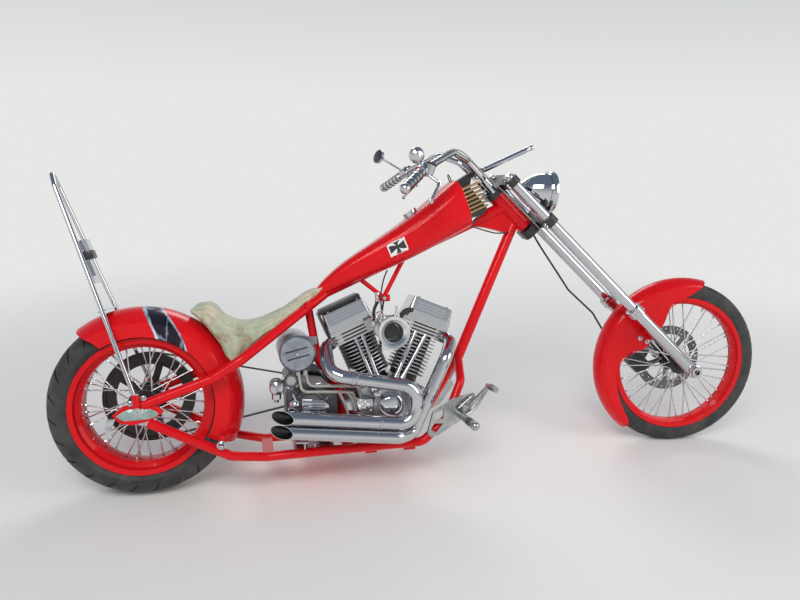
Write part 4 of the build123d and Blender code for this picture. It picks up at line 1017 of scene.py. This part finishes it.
# Rear: red sleeves at the foot of the upright bar, axle rings, tail lens and housing, blank plate.
settle([lathed((-2, hand * 167, 346), (-4, 0, 52), [(0, 11.5), (2, 12.5), (44, 12.5), (49, 9.5)], 20)
        for hand in HANDS], "bar_sleeves", "red")
settle([ring(*at, 10.5, 15, 3.5) for at in mirrored((0, 160.5, 329.75))], "axle_rings", "chrome")
LAMP_TURN = Matrix.Translation(mm(-184.35, 0, 896)) @ Matrix.Rotation(radians(-18.99), 4, "Y")
for name, finish, centre, size, bevel in (
        ("tail_lens", "red_lens", (-8, 0, 4), (10, 50, 34), 4),
        ("tail_lens_rim", "chrome", (-5, 0, 4), (8, 58, 40), 3),
        ("tail_housing", "black", (9, 0, -32), (37, 66, 30), 4),
        ("blank_plate", "white", (-0.6, 0, -92), (1.2, 92, 80), 0.3)):
    made = block((0, 0, 0), size, 0, bevel)
    made.data.transform(LAMP_TURN @ Matrix.Translation(mm(*centre)))
    settle(made, name, finish)

# Handlebar: bands on the grips, lever ends, caps, mirror glass, lines.
grip_bands, balls, caps, pivots = [], [], [], []
for hand in HANDS:
    end = near_neck(-478, 97, hand * 386)
    way = (end - near_neck(-400, 159, hand * 268)).normalized()
    for t in (12, 36, 60, 84, 108):
        grip_bands.append(ring(end - way * (t / 1000), way, 17.6, 19.6, 6, 28))
    balls.append(lathed(near_neck(-392, 46, hand * 389), (0, -7 * hand, 6),
                        [(0, 4), (2, 7.5), (7, 9.5), (12, 8), (16, 5)], 16))
    up = Vector((14, 0, 36)).normalized()
    caps.append(lathed(near_neck(-370, 181, hand * 262) - up * 0.005, up,
                       [(0, 19.2), (1, 20.5), (7, 20.5), (9, 18)], 24))
    pivots.append(lathed(near_neck(-390, 158, hand * 262), (14, -10 * hand, 0),
                         [(0, 21.5), (1, 22.8), (6, 22.8), (7, 21.5)], 24))
    pivots.append(lathed(near_neck(-346, 124, hand * 284), -UP, [(0, 8), (3, 9.5), (22, 9.5), (26, 6)], 12))
settle(grip_bands, "grip_bands", "rubber", "fork")
settle(balls, "lever_ends", "chrome", "fork")
settle(caps, "cylinder_caps", "black", "fork")
settle(pivots, "lever_pivots", "polished", "fork")
for name, place, way, radius in (
        ("mirror_glass_right", near_neck(-427, 207, -300), Vector((-0.35, 0.93, 0.1)), 26.5),
        ("mirror_glass_left", near_neck(-510, 226, 282), Vector((-0.8, -0.5, 0.3)), 28.5)):
    settle(lathed(place + way.normalized() * 0.0096, way,
                  [(0, radius), (1, radius), (1.4, radius * 0.96)], 36), name, "mirror", "fork")
BAR_LINE = ((-366, 150, 266), (-345, 190, 222), (-292, 238, 166), (-232, 238, 116), (-180, 196, 88),
            (-136, 150, 80))
FORK_LINE = ((1070, 78, -36), (1000, 78, -36), (900, 78, -36), (846, 70, -40))
settle([line([near_neck(x, z, hand * y) for x, z, y in BAR_LINE]
             + [along(t, hand * y, f) for t, y, f in FORK_LINE], 2.7) for hand in HANDS],
       "bar_lines", "braid", "fork")
settle(line([near_neck(x, z, y) for x, z, y in ((-176, -60, -22), (-110, -82, -30), (-60, -92, -30),
                                                (-20, -84, -26))], 2.6), "neck_cable", "rubber")
settle([lathed(along(1140, hand * LEG_Y), LEG, [(0, 20.5), (2, 21.5), (6, 20), (9, 12)], 32)
        for hand in HANDS], "fork_caps", "chrome", "fork")

# Forward controls: rubber rings, linkage.
rings, links = [], []
for hand in HANDS:
    rings += [ring((1145, hand * y, 238), SIDE * hand, 13.5, 15.2, 3.2) for y in (272, 287, 302)]
    rings += [ring((1246, hand * y, 350), SIDE * hand, 10.5, 12, 3.2, 20) for y in (238, 252, 266)]
    links += [line([(1250, hand * 206, 344), (1214, hand * 205, 290), (1184, hand * 205, 256),
                    (1150, hand * 204, 238)], 5.5),
              between((1140, hand * 170, 262), (1192, hand * 170, 304), 4.8),
              lathed((1196, hand * 152, 296), SIDE * hand, [(0, 10), (26, 10), (30, 6)], 12)]
settle(rings, "peg_rings", "rubber")
settle(links, "control_links", "forged")

# Primary cover screws: rings of (x, y, z, radius, angles).
screws = []
for x, y, z, radius, angles in ((903, 196, 226, 78, (-100, -60, -20, 20, 60)),
                                (598, 196, 318, 90, (95, 135, 175, 215, 255)),
                                (598, 212, 318, 51, (18, 90, 162, 234, 306))):
    for a in map(radians, angles):
        screws.append(((x + radius * cos(a), y, z + radius * sin(a)), SIDE))
settle(copies(socket_screw(5, 5), screws), "primary_screws", "chrome")

# Caliper: piston caps and bleed nipple.
settle([lathed(along(t, 93.5, -104), SIDE, [(0, 16), (3, 16), (4.5, 13)], 24) for t in (62, 114)]
       + [lathed(along(132, 80, -112), LEG, [(0, 7), (6, 7), (10, 4)], 12)],
       "caliper_fittings", "polished", "fork")

# Front fender: rolled edge along its lobe.
EDGE = [(-22, 281), (-50, 265), (-70, 250), (-81, 227), (-87, 202), (-96, 178), (-118, 152), (-146, 118),
        (-160, 92), (-205, 67.5), (-250, 44), (-280, 12), (-289, -12), (-291, -64), (-277, -127),
        (-255, -187), (-228, -234.5)]
settle([line([FRONT_AXLE + mm(x, hand * 51.4, z) for x, z in EDGE], 1.9) for hand in HANDS],
       "front_fender_edge", "red", "fork")

# The floor: pale paint that turns into the horizon's colour away from the machine.
HORIZON = (0.80, 0.80, 0.79)
FADE_FROM, FADE_TO = 1.5, 4.0
ground = material("pale_floor", (0.90, 0.87, 0.82), 0.8)
reach = node(ground, "VectorMath", {0: object_place(ground)}, operation="LENGTH")
far = node(ground, "MapRange", {"From Min": FADE_FROM, "From Max": FADE_TO,
                                     "Value": reach.outputs["Value"]}, interpolation_type="SMOOTHSTEP")
rays = node(ground, "LightPath").outputs
mirrored_ray = calc(ground, "MAXIMUM", rays["Is Glossy Ray"], rays["Is Transmission Ray"])
seen = calc(ground, "MAXIMUM", rays["Is Camera Ray"], mirrored_ray)
both = node(ground, "MixShader", {
    "Fac": calc(ground, "MULTIPLY", far.outputs["Result"], seen),
    1: shader_of(ground).outputs["BSDF"],
    2: node(ground, "Emission", {"Color": HORIZON}).outputs["Emission"]})
fill(ground, ground.node_tree.nodes["Material Output"].inputs["Surface"], both.outputs["Shader"])
bpy.ops.object.select_all(action="DESELECT")
bpy.ops.mesh.primitive_plane_add(size=60, location=(0, 0, 0))
floor = bpy.context.object
floor.name = "floor"
floor.data.materials.append(ground)

# The photograph's camera.
CAMERA_AT = (-0.7136, -2.4022, 1.4013)
CAMERA_TURN = (72.7544, -1.9789, -12.9113)
CAMERA_LENS = 28.82
bpy.ops.object.camera_add(location=CAMERA_AT, rotation=[radians(v) for v in CAMERA_TURN])
camera = bpy.context.object
camera.data.sensor_width = 36.0
camera.data.lens = CAMERA_LENS
camera.data.clip_end = 200
bpy.context.scene.camera = camera


# The soft lights, the sky and the tone.
def soft_light(name, size, energy, at, aim):
    bpy.ops.object.light_add(type="AREA", location=at)
    lamp = bpy.context.object
    lamp.name = name
    lamp.data.shape = "RECTANGLE"
    lamp.data.size, lamp.data.size_y = size
    lamp.data.energy = energy
    lamp.rotation_euler = (Vector(aim) - Vector(at)).to_track_quat("-Z", "Y").to_euler()


soft_light("key_light", (3.0, 2.0), 120, (-1.6, -3.2, 4.2), (0, 0, 0.5))
soft_light("fill_light", (2.5, 2.5), 50, (3.4, -2.4, 2.6), (0.2, 0, 0.5))
soft_light("back_light", (3.0, 1.5), 60, (0.6, 3.6, 3.2), (0, 0, 0.5))

ZENITH = (0.16, 0.20, 0.27)
world = bpy.data.worlds.new("studio")
bpy.context.scene.world = world
world.use_nodes = True
way = node(world, "TexCoord").outputs["Generated"]
height = node(world, "SeparateXYZ", {"Vector": way}).outputs["Z"]
sky = world.node_tree.nodes["Background"].inputs
fill(world, sky["Color"], ramp(world, height, (0.0, HORIZON), (0.70, ZENITH)))
fill(world, sky["Strength"], 1.0)

bpy.context.scene.view_settings.view_transform = "Standard"
